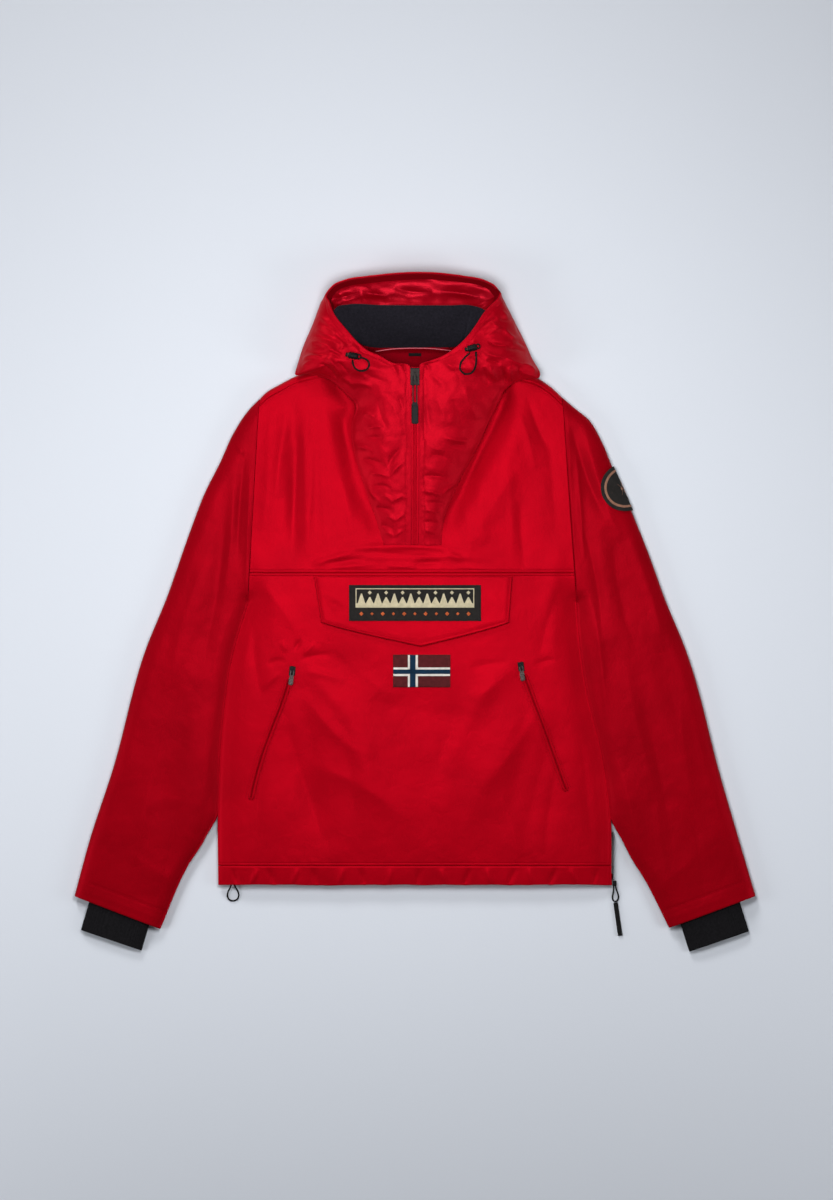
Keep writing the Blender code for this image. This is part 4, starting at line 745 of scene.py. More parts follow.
def stitch_run(line, lift=0.12, pitch=3.6, length=2.5, radius=0.3):
    """Stitches along a line of points: each a short thread that dips in at both ends."""
    line = np.array(line, float)
    along = along_line(line)
    ring = np.linspace(0, 2 * math.pi, STITCH_SIDES, endpoint=False)
    points, faces = [], []
    for centre in np.arange(pitch, along[-1] - pitch / 2, pitch):
        place, before, after = [
            point_at(line, along, centre + step) for step in (0, -length / 2, length / 2)
        ]
        ahead = unit(after - before)
        side, up = across_and_up(ahead)
        faces += ring_faces(len(points), STITCH_SIDES, len(STITCH_RINGS) - 1)
        for share, size in STITCH_RINGS:
            middle = place + ahead * share * length / 2 + up * (lift - 0.28 * abs(share) ** 3)
            for angle in ring:
                points.append(middle + radius * size * (side * math.cos(angle) + up * 0.8 * math.sin(angle)))
    return np.array(points), faces


def joined(name, parts, look, smooth=True):
    """One object from several (points, faces)."""
    points, faces, start = [], [], 0
    for part_points, part_faces in parts:
        points.append(np.asarray(part_points, float).reshape(-1, 3))
        faces += [[corner + start for corner in face] for face in part_faces]
        start += len(part_points)
    return mesh_object(name, np.concatenate(points), faces, look, smooth)


def stitches(name, lines, look, **sizes):
    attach(joined(name, [stitch_run(line, **sizes) for line in lines], look), "garment")


def on_surface(plan, surface):
    plan = np.array(plan, float)
    return np.column_stack([plan, surface(plan[:, 0], plan[:, 1])])


def level_line(x, y):
    """Points in plan that all have the same y."""
    return np.column_stack([x, np.full(len(x), y)])


def dressed(made, slot, *nodes):
    """A piece rides on the garment and stands for its nodes, which are hidden. The slot is not used."""
    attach(made, "garment")
    if nodes:
        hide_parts(*nodes)


def sheet_piece(made, cut, area, rests_on, slot, *nodes):
    """A cloth piece. Its flat cut, its area in metres and the pieces it rests on are not used."""
    dressed(made, slot, *nodes)


# ---------------------------------------------------------------- materials

class Look:
    """A material and its node tree, with short ways to add and link nodes."""

    def __init__(self, name, colour, roughness, metallic=0.0, specular=0.2):
        self.material = bpy.data.materials.new(name)
        self.material.use_nodes = True
        self.material.diffuse_color = (*colour, 1)
        self.tree = self.material.node_tree
        self.shader = self.tree.nodes["Principled BSDF"]
        self.shader.inputs["Base Color"].default_value = (*colour, 1)
        self.shader.inputs["Roughness"].default_value = roughness
        self.shader.inputs["Metallic"].default_value = metallic
        self.shader.inputs["Specular IOR Level"].default_value = specular
        self.place = self.node("ShaderNodeTexCoord").outputs["Object"]
        self.normal = None

    def node(self, kind, **values):
        made = self.tree.nodes.new(kind)
        for key, value in values.items():
            setattr(made, key, value)
        return made

    def link(self, source, target):
        self.tree.links.new(source, target)

    def noise(self, size_mm, detail=3.0, rough=0.55, distortion=0.0, vector=None):
        made = self.node("ShaderNodeTexNoise")
        made.inputs["Scale"].default_value = 1000 / size_mm
        made.inputs["Detail"].default_value = detail
        made.inputs["Roughness"].default_value = rough
        made.inputs["Distortion"].default_value = distortion
        self.link(vector or self.place, made.inputs["Vector"])
        return made.outputs["Fac"]

    def wave(self, pitch_mm, direction, distortion=0.0, vector=None):
        made = self.node("ShaderNodeTexWave", wave_type="BANDS", bands_direction=direction)
        made.inputs["Scale"].default_value = 1000 / pitch_mm / (20 / (2 * math.pi))
        made.inputs["Distortion"].default_value = distortion
        self.link(vector or self.place, made.inputs["Vector"])
        return made.outputs["Fac"]

    def math(self, operation, first, second):
        made = self.node("ShaderNodeMath", operation=operation)
        for socket, value in zip(made.inputs, (first, second)):
            if isinstance(value, (int, float)):
                socket.default_value = value
            else:
                self.link(value, socket)
        return made.outputs[0]

    def ramp(self, factor, stops):
        made = self.node("ShaderNodeValToRGB")
        ends = made.color_ramp.elements
        while len(ends) < len(stops):
            ends.new(0.5)
        for end, (spot, colour) in zip(ends, stops):
            end.position = spot
            end.color = (*colour, 1)
        self.link(factor, made.inputs["Fac"])
        return made.outputs["Color"]

    def colour(self, output):
        self.link(output, self.shader.inputs["Base Color"])

    def bump(self, height, depth_mm, strength=1.0):
        made = self.node("ShaderNodeBump")
        made.inputs["Strength"].default_value = strength
        made.inputs["Distance"].default_value = depth_mm * MM
        self.link(height, made.inputs["Height"])
        if self.normal is not None:
            self.link(self.normal, made.inputs["Normal"])
        self.normal = made.outputs["Normal"]
        self.link(self.normal, self.shader.inputs["Normal"])

    def sheen(self, weight, tint, roughness=0.4):
        self.shader.inputs["Sheen Weight"].default_value = weight
        self.shader.inputs["Sheen Tint"].default_value = (*tint, 1)
        self.shader.inputs["Sheen Roughness"].default_value = roughness


GLOSS_TINT = (1.0, 0.09, 0.16, 1.0)  # dyed cloth: its gloss keeps the dye's colour


def shade(colour, factor):
    return tuple(min(1.0, value * factor) for value in colour)


def nylon(name, colour, roughness=0.48, specular=0.14, crinkle=0.5, sheen=0.02, satin=0.27):
    """Soft woven nylon: a fine weave, small crinkles, and a little change of tone."""
    look = Look(name, colour, roughness, metallic=satin, specular=specular)
    look.shader.inputs["Specular Tint"].default_value = GLOSS_TINT
    tone = look.noise(70, detail=4.0)
    look.colour(look.ramp(tone, ((0.3, shade(colour, 0.9)), (0.7, shade(colour, 1.08)))))
    look.bump(look.noise(17, detail=3.0, rough=0.5, distortion=0.6), crinkle)
    look.bump(look.noise(5.5, detail=2.0), crinkle * 0.12)
    weave = look.math("MULTIPLY", look.wave(0.9, "X"), look.wave(0.9, "Y"))
    look.bump(weave, 0.03)
    look.sheen(sheen, (1.0, 0.25, 0.3))
    return look.material


def fleece_look(name, colour):
    look = Look(name, colour, 0.95, specular=0.05)
    tone = look.noise(3.5, detail=5.0, rough=0.7)
    look.colour(look.ramp(tone, ((0.3, shade(colour, 0.6)), (0.72, shade(colour, 1.7)))))
    look.bump(look.noise(2.2, detail=4.0, rough=0.7), 0.7)
    look.bump(look.noise(14, detail=2.0), 0.7)
    look.sheen(0.25, (0.5, 0.5, 0.62), 0.55)
    return look.material


def knit_look(name, colour):
    look = Look(name, colour, 0.85, specular=0.08)
    tone = look.noise(2.5, detail=3.0)
    look.colour(look.ramp(tone, ((0.3, shade(colour, 0.7)), (0.7, shade(colour, 1.6)))))
    look.bump(look.noise(1.4, detail=2.0), 0.25)
    look.sheen(0.05, (0.5, 0.5, 0.55), 0.5)
    return look.material


def woven(name, colour, roughness=0.75, pitch=0.9, depth=0.12, spread=0.2):
    """A tape or patch woven from thick yarn."""
    look = Look(name, colour, roughness, specular=0.15)
    tone = look.noise(6, detail=3.0)
    look.colour(look.ramp(tone, ((0.3, shade(colour, 1 - spread)), (0.7, shade(colour, 1 + spread)))))
    look.bump(look.math("ADD", look.wave(pitch, "X", 0.4), look.wave(pitch * 1.4, "Y", 0.4)), depth)
    return look.material


def plastic(name, colour, roughness=0.42):
    look = Look(name, colour, roughness, specular=0.12)
    look.colour(look.ramp(look.noise(9, detail=2.0), ((0.3, shade(colour, 0.8)), (0.7, shade(colour, 1.25)))))
    look.bump(look.noise(1.1, detail=2.0), 0.04)
    return look.material


def metal(name, colour, roughness=0.36):
    look = Look(name, colour, roughness, metallic=0.85, specular=0.5)
    worn = look.noise(5, detail=4.0, rough=0.65)
    look.colour(look.ramp(worn, ((0.35, shade(colour, 0.75)), (0.7, shade(colour, 1.35)))))
    look.bump(look.noise(1.6, detail=3.0), 0.05)
    return look.material


RED = (0.385, 0.0003, 0.0068)
# The sleeves' nylon is the shell's red made darker: painted shade, since the sleeves lie less lit than the
# chest.
SHADED_SLEEVE_RED = (0.295, 0.0002, 0.0052)
LOOKS = {
    "shell": nylon("shell_nylon", RED),
    "sleeve": nylon("sleeve_nylon_painted_shade", SHADED_SLEEVE_RED),
    "hood": nylon("hood_nylon", (0.39, 0.0004, 0.0076), 0.47, 0.3, 0.7, 0.03, 0.32),
    # A darker copy of the red nylon: painted shade on the hood's facing and on the neck lining under the
    # collar.
    "brow": nylon("brow_facing_painted_shade", (0.21, 0.0003, 0.005), 0.6, 0.08, 0.5, 0.02),
    "lining": nylon("lining_satin", (0.35, 0.0003, 0.0075), 0.36, 0.5, 0.5, 0.05),
    "thread": nylon("red_thread", (0.36, 0.0006, 0.009), 0.6, 0.1, 0.05, 0.0),
    "fleece": fleece_look("fleece_pile", (0.0085, 0.0075, 0.011)),
    "knit": knit_look("rib_knit", (0.006, 0.0055, 0.0065)),
    "tape": nylon("zip_tape_red", (0.41, 0.0004, 0.0080), 0.45, 0.25, 0.25, 0.02, 0.34),
    "teeth": nylon("zip_teeth_red", (0.36, 0.0003, 0.007), 0.45, 0.25, 0.1, 0.0, 0.3),
    # Pocket zip chain: the zip's red made darker as painted shade of the groove between the lips.
    "chain": nylon("pocket_chain_painted_shade", (0.22, 0.0002, 0.0045), 0.6, 0.1, 0.2, 0.0),
    "black_tape": woven("black_tape_weave", (0.006, 0.0055, 0.006), 0.85, 0.8, 0.12),
    "black_cord": woven("black_cord_braid", (0.006, 0.0055, 0.006), 0.75, 1.0, 0.2),
    "black_plastic": plastic("black_plastic", (0.0055, 0.005, 0.0055), 0.5),
    "spring": metal("lock_spring", (0.16, 0.11, 0.07), 0.35),
    "slider": metal("slider_dark_nickel", (0.017, 0.013, 0.012), 0.5),
    "pull": metal("pull_dark_nickel", (0.06, 0.045, 0.043), 0.45),
    "patch_black": woven("patch_black_weave", (0.016, 0.014, 0.013), 0.8, 0.7, 0.1),
    "cream": woven("cream_yarn", (0.56, 0.49, 0.33), 0.75, 0.7, 0.12, 0.15),
    "orange": woven("orange_yarn", (0.50, 0.10, 0.03), 0.75, 0.7, 0.12),
    "tan": woven("tan_yarn", (0.27, 0.13, 0.085), 0.75, 0.7, 0.12),
    "maroon": woven("maroon_yarn", (0.085, 0.009, 0.011), 0.75, 0.7, 0.12),
    "white": woven("white_yarn", (0.70, 0.66, 0.61), 0.75, 0.7, 0.12, 0.1),
    "navy": woven("navy_yarn", (0.003, 0.022, 0.052), 0.75, 0.7, 0.12),
    "piping": nylon("piping_satin", (0.60, 0.12, 0.15), 0.5, 0.3, 0.2, 0.2),
}


# ---------------------------------------------------------------- camera and cords

def make_camera():
    data = bpy.data.cameras.new("camera")
    data.lens = CAMERA_LENS
    data.clip_end = 50
    made = add_object("camera", data)
    made.location = CAMERA_AT
    bpy.context.scene.camera = made


def make_cord(name, points, diameter, count):
    """A cord along the same smooth route as its solid, with both ends in a garment part."""
    route = smooth_path(points, count)
    data = bpy.data.curves.new(name, "CURVE")
    data.dimensions = "3D"
    data.bevel_depth = diameter / 2 * MM
    data.bevel_resolution = 4
    data.use_fill_caps = True
    spline = data.splines.new("POLY")
    spline.points.add(count - 1)
    for point, at in zip(spline.points, route):
        point.co = (*(at * MM), 1)
    data.materials.append(LOOKS["black_cord"])
    made = add_object(name, data)
    dressed(made, "black_tape", name.replace("_braid", ""))


# ---------------------------------------------------------------- body

def body_sides(y):
    """Left and right edge of the body's cloth at y."""
    left = side_x(LEFT_SIDE, LEFT_ARMHOLE, y) + SEAM_GAP / 2
    return left, side_x(RIGHT_SIDE, RIGHT_ARMHOLE, y) - SEAM_GAP / 2


def make_front_body():
    low_y, high_y = HEM_SEAM_Y + SEAM_GAP / 2, YOKE_SEAM_Y - SEAM_GAP / 2
    share = fine_steps(BODY_WIDTH, SIDE_STEPS, CLOTH_PITCH) / BODY_WIDTH
    rows = []
    for y in low_y + fine_steps(high_y - low_y, SEAM_STEPS, CLOTH_PITCH):
        left, right = body_sides(y)
        rows.append(level_line(left + share * (right - left), y))
    plan = np.array(rows)
    grid = np.dstack([plan, front_cloth(plan[..., 0], plan[..., 1])])
    made = cloth_grid("front_body_cloth", grid, LOOKS["shell"])
    sheet_piece(made, (0.556, 0.412), 0.2190, ["back_cloth"], "shell", "front_body")


def yoke_half(level, share, shoulder, side, armhole, seam, notch_x, notch_y):
    low_y = YOKE_SEAM_Y + SEAM_GAP / 2
    corner_x = shoulder[0][0]
    top_x = corner_x + share * (math.copysign(FRONT_NECK[0], corner_x) - corner_x)
    top_y = y_at(shoulder, top_x) - SHOULDER_RADIUS - YOKE_TUCK - share * 0.4
    y = low_y + level * (top_y - low_y)
    x = side_x(side, armhole, y) + seam
    return np.column_stack([x + share * (notch_x - x), y + share**4 * (notch_y - y)])


def make_front_yoke():
    low_y = YOKE_SEAM_Y + SEAM_GAP / 2
    reach = FRONT_NECK[1] - low_y
    foot = (NOTCH_Y - low_y) / reach
    near = np.array(SEAM_STEPS) / reach
    below = np.concatenate([near, np.linspace(near[-1], foot, 13)[1:]])
    levels = np.concatenate([below, np.linspace(foot, 0.985, 92)[1:], [0.99, 0.995, 1.0]])
    notch_row = len(below) - 1
    shares = np.concatenate([np.array(SIDE_STEPS) / 180, np.linspace(0.07, 0.97, 62), [0.98, 0.99, 1.0]])
    strip = len(shares)
    left = (LEFT_SHOULDER, LEFT_SIDE, LEFT_ARMHOLE, SEAM_GAP / 2)
    right = (RIGHT_SHOULDER, RIGHT_SIDE, RIGHT_ARMHOLE, -SEAM_GAP / 2)
    middle = np.linspace(0, 1, 34)[1:-1]
    rows = []
    for level in levels:
        notch_y = low_y + level * reach
        left_x, right_x = [float(x_at(notch, max(notch_y, NOTCH_Y))) for notch in (LEFT_NOTCH, RIGHT_NOTCH)]
        rows.append(np.concatenate([
            yoke_half(level, shares, *left, left_x, notch_y),
            level_line(left_x + middle * (right_x - left_x), notch_y),
            yoke_half(level, shares, *right, right_x, notch_y)[::-1],
        ]))
    plan = np.array(rows)
    x, y = plan[..., 0], plan[..., 1]
    from_top = shoulder_y(x) - SHOULDER_RADIUS - YOKE_TUCK - y
    z = front_cloth(x, y) + groove(from_top, 1.1, 1.1) + groove(from_top - SEAM_STITCH, *STITCH_DIP)
    columns = plan.shape[1]
    column = np.arange(columns - 1)
    beside_notch = (column < strip - 1) | (column >= columns - strip)
    keep = np.array([beside_notch | (row < notch_row) for row in range(len(levels) - 1)])
    made = cloth_grid("front_yoke_cloth", np.dstack([plan, z]), LOOKS["shell"], keep=keep)
    sheet_piece(made, (0.462, 0.290), 0.0950, ["back_cloth"], "shell", "front_yoke")


def make_back():
    """The back lies on the surface; its shoulder strips wrap over to the front."""
    low_y = HEM_SEAM_Y + SEAM_GAP / 2
    neck = BACK_NECK_X
    left_end, right_end = LEFT_SHOULDER[0][0] + 0.8, RIGHT_SHOULDER[0][0] - 0.8
    edge = np.array([0, 0.7, 1.6, 3.0, 5.0, 8.0, 12.0])
    top_x = np.concatenate([
        left_end + edge, np.linspace(left_end + 16, -neck, 30), np.linspace(-neck, neck, 60)[1:-1],
        np.linspace(neck, right_end - 16, 30), (right_end - edge)[::-1],
    ])
    arc = np.sqrt(np.clip(1 - (top_x / neck) ** 2, 0, 1))
    flat_top = np.where(
        np.abs(top_x) < neck, BACK_NECK_Y[0] + BACK_NECK_Y[1] * arc, shoulder_y(top_x) - SHOULDER_RADIUS
    )
    share = (top_x - top_x[0]) / (top_x[-1] - top_x[0])
    levels = np.linspace(0, 1, 150)
    grid = []
    for level in levels:
        y = low_y + level * (flat_top - low_y)
        left, right = body_sides(y)
        x = left + share * (right - left)
        x = x * (1 - level**3) + top_x * level**3
        z = back_under(x, y) + 0.25 * (1 + noise(x, y, 48, 21)) * smooth_step(8, 40, side_distance(x, y))
        grid.append(np.column_stack([x, y, z]))
    for angle in np.linspace(0, math.pi, 19)[1:]:
        y = flat_top + SHOULDER_RADIUS * math.sin(angle)
        z = SHOULDER_RADIUS * (1 - math.cos(angle)) + 0.18 * noise(top_x, y * 0.4, 15, 22) * math.sin(angle)
        grid.append(np.column_stack([top_x, y, z]))
    for inset, drop in ((0.5, 0.3), (1.1, 1.4)):
        top_z = np.full(len(top_x), 2 * SHOULDER_RADIUS - drop)
        grid.append(np.column_stack([top_x, flat_top - inset, top_z]))
    grid = np.array(grid)
    beside_neck = np.abs(top_x[:-1] + top_x[1:]) / 2 >= neck
    keep = np.array([beside_neck | (row < len(levels) - 1) for row in range(len(grid) - 1)])
    made = cloth_grid("back_cloth", grid, LOOKS["shell"], keep=keep, up=False)
    sheet_piece(made, (0.560, 0.725), 0.3700, [], "shell", "back_panel")


def make_hem():
    """The turned casing round front and back, rolled over at its open edge."""
    height = HEM_SEAM_Y - SEAM_GAP / 2 - HEM_Y - ROLL
    levels = np.concatenate([
        [0, 0.6, 1.3], np.linspace(2.2, height - 2.6, 8), height - np.array([2.0, 1.4, 0.8, 0.3, 0]),
    ])
    rows = []
    for y in HEM_Y + ROLL + levels:
        left = float(x_at(LEFT_SIDE, y)) + SEAM_GAP / 2
        right = float(x_at(RIGHT_SIDE, y)) - SEAM_GAP / 2
        over_x = left + fine_steps(right - left, SIDE_STEPS, CLOTH_PITCH)
        over_x = np.interp(np.linspace(0, 1, HEM_COLUMNS), np.linspace(0, 1, len(over_x)), over_x)
        over_y = np.full(HEM_COLUMNS, y)
        over_z = front_cloth(over_x, over_y) + 0.35 * noise(over_x, over_y, 30, 31)
        under_x = np.linspace(right - 1.5, left + 1.5, 90)
        ring_x = np.concatenate([over_x, under_x])
        wave = 1.1 * noise(ring_x, 0 * ring_x, 85, 32) + 0.8 * noise(ring_x, 0 * ring_x, 31, 33)
        wave = wave * np.clip(1 - (y - HEM_Y) / 20, 0, 1)
        ring_z = np.concatenate([over_z, back_under(under_x, np.full(len(under_x), y))])
        rows.append(np.column_stack([ring_x, y + wave, ring_z]))
    grid = np.array(rows)
    normal = turned_up(grid_normals(grid, wrap=True), 0, 100)
    rolled = turned_edge(grid[0], np.array([0, -1.0, 0]), normal[0], ROLL, 15.0)
    whole = np.concatenate([rolled[::-1], grid])
    made = cloth_grid("hem_band_cloth", whole, LOOKS["shell"], wrap=True, up=False)
    sheet_piece(made, (1.110, 0.046), 0.0500, [], "shell", "hem_band")


# ---------------------------------------------------------------- sleeves and cuffs

def sleeve_surface(outer, inner, folds, table, sign, seed):
    """Rings from the cap to the hem: the upper side first, then the underside back."""
    over_share = fine_steps(SLEEVE_WIDTH, SLEEVE_STEPS, 3.78) / SLEEVE_WIDTH
    under_share = fine_steps(SLEEVE_WIDTH, (0, 1.0, 3.0, 6.0, 11.0), 11.0)[::-1][1:-1] / SLEEVE_WIDTH
    ring_share = np.concatenate([over_share, under_share])
    shares = np.concatenate([
        np.linspace(0, 0.03, 12), np.linspace(0.03, 0.965, 230)[1:], np.linspace(0.965, 1, 14)[1:],
    ])
    grid = []
    for share in shares:
        start, end = sleeve_plan(outer, inner, share)
        width = np.linalg.norm(end - start)
        grid.append(start + np.outer(0.15 + ring_share * (width - 0.3), (end - start) / width))
    plan = np.array(grid)
    x, y = plan[..., 0], plan[..., 1]
    count = len(over_share)
    z = np.empty(x.shape)
    z[:, :count] = sleeve_heights(outer, inner, folds, x[:, :count], y[:, :count], False)
    z[:, count:] = sleeve_heights(outer, inner, folds, x[:, count:], y[:, count:], True)
    from_body = distance_to(inner, x, y)
    edge = np.minimum(distance_to(outer, x, y), from_body)
    from_cap, from_hem = shares[:, None] * SLEEVE_LENGTH, (1 - shares[:, None]) * SLEEVE_LENGTH
    detail = crease_height(table, x, y, BODY_CREASE)
    detail = detail + 0.9 * noise(x, y, 55, seed) + 0.2 * noise(x, y, 17, seed + 1)
    detail = detail * smooth_step(0, 24, edge)
    detail = detail + groove(from_cap, 0.4, 1.6) + groove(from_cap - SEAM_STITCH, 0.3, 0.8)
    detail = detail + groove(from_hem - SLEEVE_HEM, 0.7, 0.9) + 0.2 * smooth_step(6, 0, np.abs(from_hem - 11))
    detail = detail - SLEEVE_SLOPE * np.exp(-((from_body / 24) ** 2)) * smooth_step(0, 3, from_body)
    z[:, :count] += detail[:, :count]
    x = x + sign * SEAM_GAP * (1 - shares[:, None]) ** 6
    side = LEFT_SIDE if sign < 0 else RIGHT_SIDE
    inner_x, inner_y = x[:, count - 1:count], y[:, count - 1:count]
    gap = np.abs(inner_x - x_at(side, np.minimum(inner_y, UNDERARM_Y))) - 0.4
    closing = np.clip(gap + 1.0, 0, 5.0) * smooth_step(16, 4, gap) * smooth_step(50, 22, inner_y)
    from_inner = np.linalg.norm(plan - plan[:, count - 1:count], axis=-1)
    x = x - sign * closing * smooth_step(24, 0, from_inner)
    return np.dstack([x, y, z]), count, shares


def make_sleeve(name, outer, inner, folds, table, sign, seed):
    """A sleeve, and the rows of its upper side where its topstitching runs."""
    grid, over, shares = sleeve_surface(outer, inner, folds, table, sign, seed)
    normal = turned_up(grid_normals(grid, wrap=True), 100, over // 2)
    middle = unit(grid[-1] - grid[-6])[over // 2] * (1, 1, 0)
    onward = np.broadcast_to(unit(middle), grid[-1].shape)
    rolled = turned_edge(grid[-1], onward, normal[-1], ROLL, 16.0)
    inward = unit(grid[0] - grid[4])
    sunk = normal[0] * np.where(np.arange(grid.shape[1]) < over, 0.5, 0.6)[:, None]
    tuck = np.array([grid[0] + inward * 3.2 - sunk, grid[0] + inward * 0.4 - sunk * 0.7])
    whole = np.concatenate([tuck, grid, rolled])
    # The sleeves get the darker red nylon: painted shade.
    made = cloth_grid(name + "_cloth", whole, LOOKS["sleeve"], wrap=True, up=False)
    sheet_piece(made, (0.470, 0.735), 0.2230, [], "shell", name, name + "_under")
    return [
        grid[int(np.argmin(np.abs(shares * SLEEVE_LENGTH - reach))), 2:over - 2]
        for reach in (SEAM_STITCH, SLEEVE_LENGTH - SLEEVE_HEM)
    ]


def make_knit_cuff(name, corners):
    """A ribbed tube from inside the sleeve to its open end, turned in there."""
    (outer_in, inner_in), (outer_out, inner_out) = np.array(corners, float)
    ribs, each = 58, 6
    angles = np.linspace(0, 2 * math.pi, ribs * each, endpoint=False)
    rib = 0.55 * np.abs(np.sin(angles * ribs / 2)) ** 0.7 - 0.55
    swing = np.sign(np.cos(angles)) * np.abs(np.cos(angles)) ** 0.55
    lift = np.sign(np.sin(angles)) * np.abs(np.sin(angles)) ** 0.75
    grid = []
    for share in np.concatenate([np.linspace(0, 0.94, 26), [0.96, 0.975, 0.99, 1.0]]):
        start = outer_in + (outer_out - outer_in) * share
        end = inner_in + (inner_out - inner_in) * share
        floor = CUFF_FLOOR * (1 - max(0.0, share - 0.45) / 0.55) ** 1.5
        plan = start + np.outer((1 - swing) / 2, end - start)
        ease = 0.3 * noise(angles * 18, np.full(len(angles), share * 60), 9, 41)
        z = floor + CUFF_HEIGHT / 2 * (1 + lift) + (rib + ease) * (0.3 + 0.7 * np.abs(lift))
        grid.append(np.column_stack([plan, np.maximum(z, 0.05)]))
    grid = np.array(grid)
    onward = unit(np.append((outer_out + inner_out - outer_in - inner_in) / 2, 0))
    normal = turned_up(grid_normals(grid, wrap=True), 10, ribs * each // 4)
    rolled = turned_edge(grid[-1], np.broadcast_to(onward, grid[-1].shape), normal[-1], 1.0, 14.0)
    made = cloth_grid(name + "_ribs", np.concatenate([grid, rolled]), LOOKS["knit"], wrap=True, up=False)
    sheet_piece(made, (0.200, 0.105), 0.0200, [], "knit", name)


# ---------------------------------------------------------------- hood

RIM_STEPS = (0, 0.6, 1.2, 2.0, 3.2, 4.8, 6.4, 7.2, 8.0, 8.8, 9.8, 11.2)
RIM_SEAM = 8  # which of the rim steps the topstitching runs on


def hood_surface(table, creases, rows, columns, seed):
    """Sections from the turned inner edge to the outer one, with creases, and both edges rolled under."""
    stations = smooth_path(table, rows)
    inner_edge, outer_edge, puff = stations[:, :3], stations[:, 3:6], stations[:, 6]
    run = outer_edge - inner_edge
    level = np.linalg.norm(run[:, :2], axis=1)
    heading = run[:, :2] / level[:, None]
    steep = smooth_step(12, 5, level) * smooth_step(380, 420, inner_edge[:, 1])
    shift = run * (1, 1, 0) * steep[:, None]
    inner_edge, outer_edge = inner_edge + 0.7 * shift, outer_edge - 0.3 * shift
    puff = puff * (1 - 0.8 * steep)
    run = outer_edge - inner_edge
    level = (run[:, :2] * heading).sum(axis=1)
    reach = np.linalg.norm(run, axis=1)
    ahead = run / reach[:, None]
    rim = np.minimum(np.array(RIM_STEPS) / reach[:, None], 0.6)
    v = np.concatenate([rim, rim[:, -1:] + (1 - rim[:, -1:]) * np.linspace(0, 1, columns)[1:]], axis=1)
    swell = puff[:, None] * np.clip(1 - (2 * v - 1) ** 2, 0, 1) ** 0.8 * (1 - (1 - v) ** 4)
    out = np.column_stack([heading * (-run[:, 2] / reach)[:, None], level / reach])
    grid = inner_edge[:, None] + run[:, None] * v[..., None] + out[:, None] * swell[..., None]
    from_rim = v * reach[:, None]
    from_foot = (1 - v) * reach[:, None]
    normal = grid_normals(grid)
    if normal[:, columns // 2, 2].mean() < 0:
        normal = -normal
    x, y = grid[..., 0], grid[..., 1]
    detail = crease_height(creases, x, y, HOOD_CREASE) * (0.62 + 0.38 * smooth_step(250, 320, y))
    detail = detail + 1.5 * noise(x, y * 0.7, 38, seed) + 0.45 * noise(x, y, 13, seed + 1)
    detail = detail * smooth_step(1.5, 12, from_rim) * smooth_step(0, 9, from_foot)
    detail = detail * (1 - 0.8 * steep)[:, None]
    from_seam = from_rim - RIM_STEPS[RIM_SEAM]
    detail = detail + groove(from_seam, 0.4, 0.9)
    detail = detail + 0.25 * noise(x, y, 6.0, seed + 2) * np.exp(-((from_seam / 5) ** 2))
    easing = np.clip(1 - from_rim / 10, 0, 1)[..., None] ** 2
    grid = grid + normal * detail[..., None] + ahead[:, None] * ROLL * easing
    inner_roll = turned_edge(grid[:, 0], -ahead, out, ROLL, 9.0)
    side = np.column_stack([heading, np.zeros(len(heading))])
    up = np.array([0, 0, 1.0])
    overhang = smooth_step(21, 28, outer_edge[:, 2])[:, None]
    radius = 0.8 + 2.6 * overhang
    outer_roll = []
    for angle in np.linspace(0, math.pi, 8)[1:]:
        outer_roll.append(grid[:, -1] + side * radius * math.sin(angle) - up * radius * (1 - math.cos(angle)))
    outer_roll.append(outer_roll[-1] - side * (3 + 12 * overhang) - up * (1.0 + 2.0 * overhang))
    outer_roll = np.array(outer_roll)
    outer_roll[..., 2] = np.maximum(outer_roll[..., 2], 0.2)
    whole = [inner_roll[::-1].transpose(1, 0, 2), grid, outer_roll.transpose(1, 0, 2)]
    return np.concatenate(whole, axis=1), grid


def make_hood_side(name, table, creases, seed):
    whole, grid = hood_surface(table, creases, 330, 56, seed)
    made = cloth_grid(name + "_cloth", whole, LOOKS["hood"])
    sheet_piece(made, (0.125, 0.560), 0.0480, ["front_yoke_cloth"], "shell", name)
    return grid


def make_hood_centre():
    whole, grid = hood_surface(HOOD_CENTRE, (), 90, 16, 60)
    tucked = [row + unit(row - inner) * 2.4 - (0, 0, 0.6) for row, inner in (whole[:2], whole[:-3:-1])]
    whole = np.concatenate([tucked[:1], whole, tucked[1:]])
    made = cloth_grid("hood_centre_cloth", whole, LOOKS["hood"])
    sheet_piece(made, (0.125, 0.060), 0.0068, ["hood_back_cloth"], "shell", "hood_centre")
    return grid


def crown_ring():
    """The crown's outline in plan, and its inward direction."""
    edge = np.concatenate([
        smooth_path(CROWN_LOW, 90)[:-1], smooth_path(CROWN_RIGHT, 40)[:-1],
        smooth_path(CROWN_TOP, 90)[::-1][:-1], smooth_path(CROWN_LEFT, 40)[::-1][:-1],
    ])
    ahead = np.roll(edge, -1, axis=0) - np.roll(edge, 1, axis=0)
    return edge, unit(np.column_stack([-ahead[:, 1], ahead[:, 0]]))


CROWN_MIDDLE = (0, 415)
# Section of the crown from its middle below, out round its layered rim and back above: inset, height
CROWN_PROFILE = (
    (60, 0.3), (20, 0.2), (6, 0.1), (1.4, 0.1), (0.5, 0.5), (0.0, 1.6), (0.1, 2.8), (0.8, 3.7), (2.2, 4.3),
    (0.9, 4.7), (0.1, 5.4), (0.0, 6.6), (0.3, 7.6), (1.2, 8.3), (6, 8.5), (20, 8.6), (60, 8.7),
)


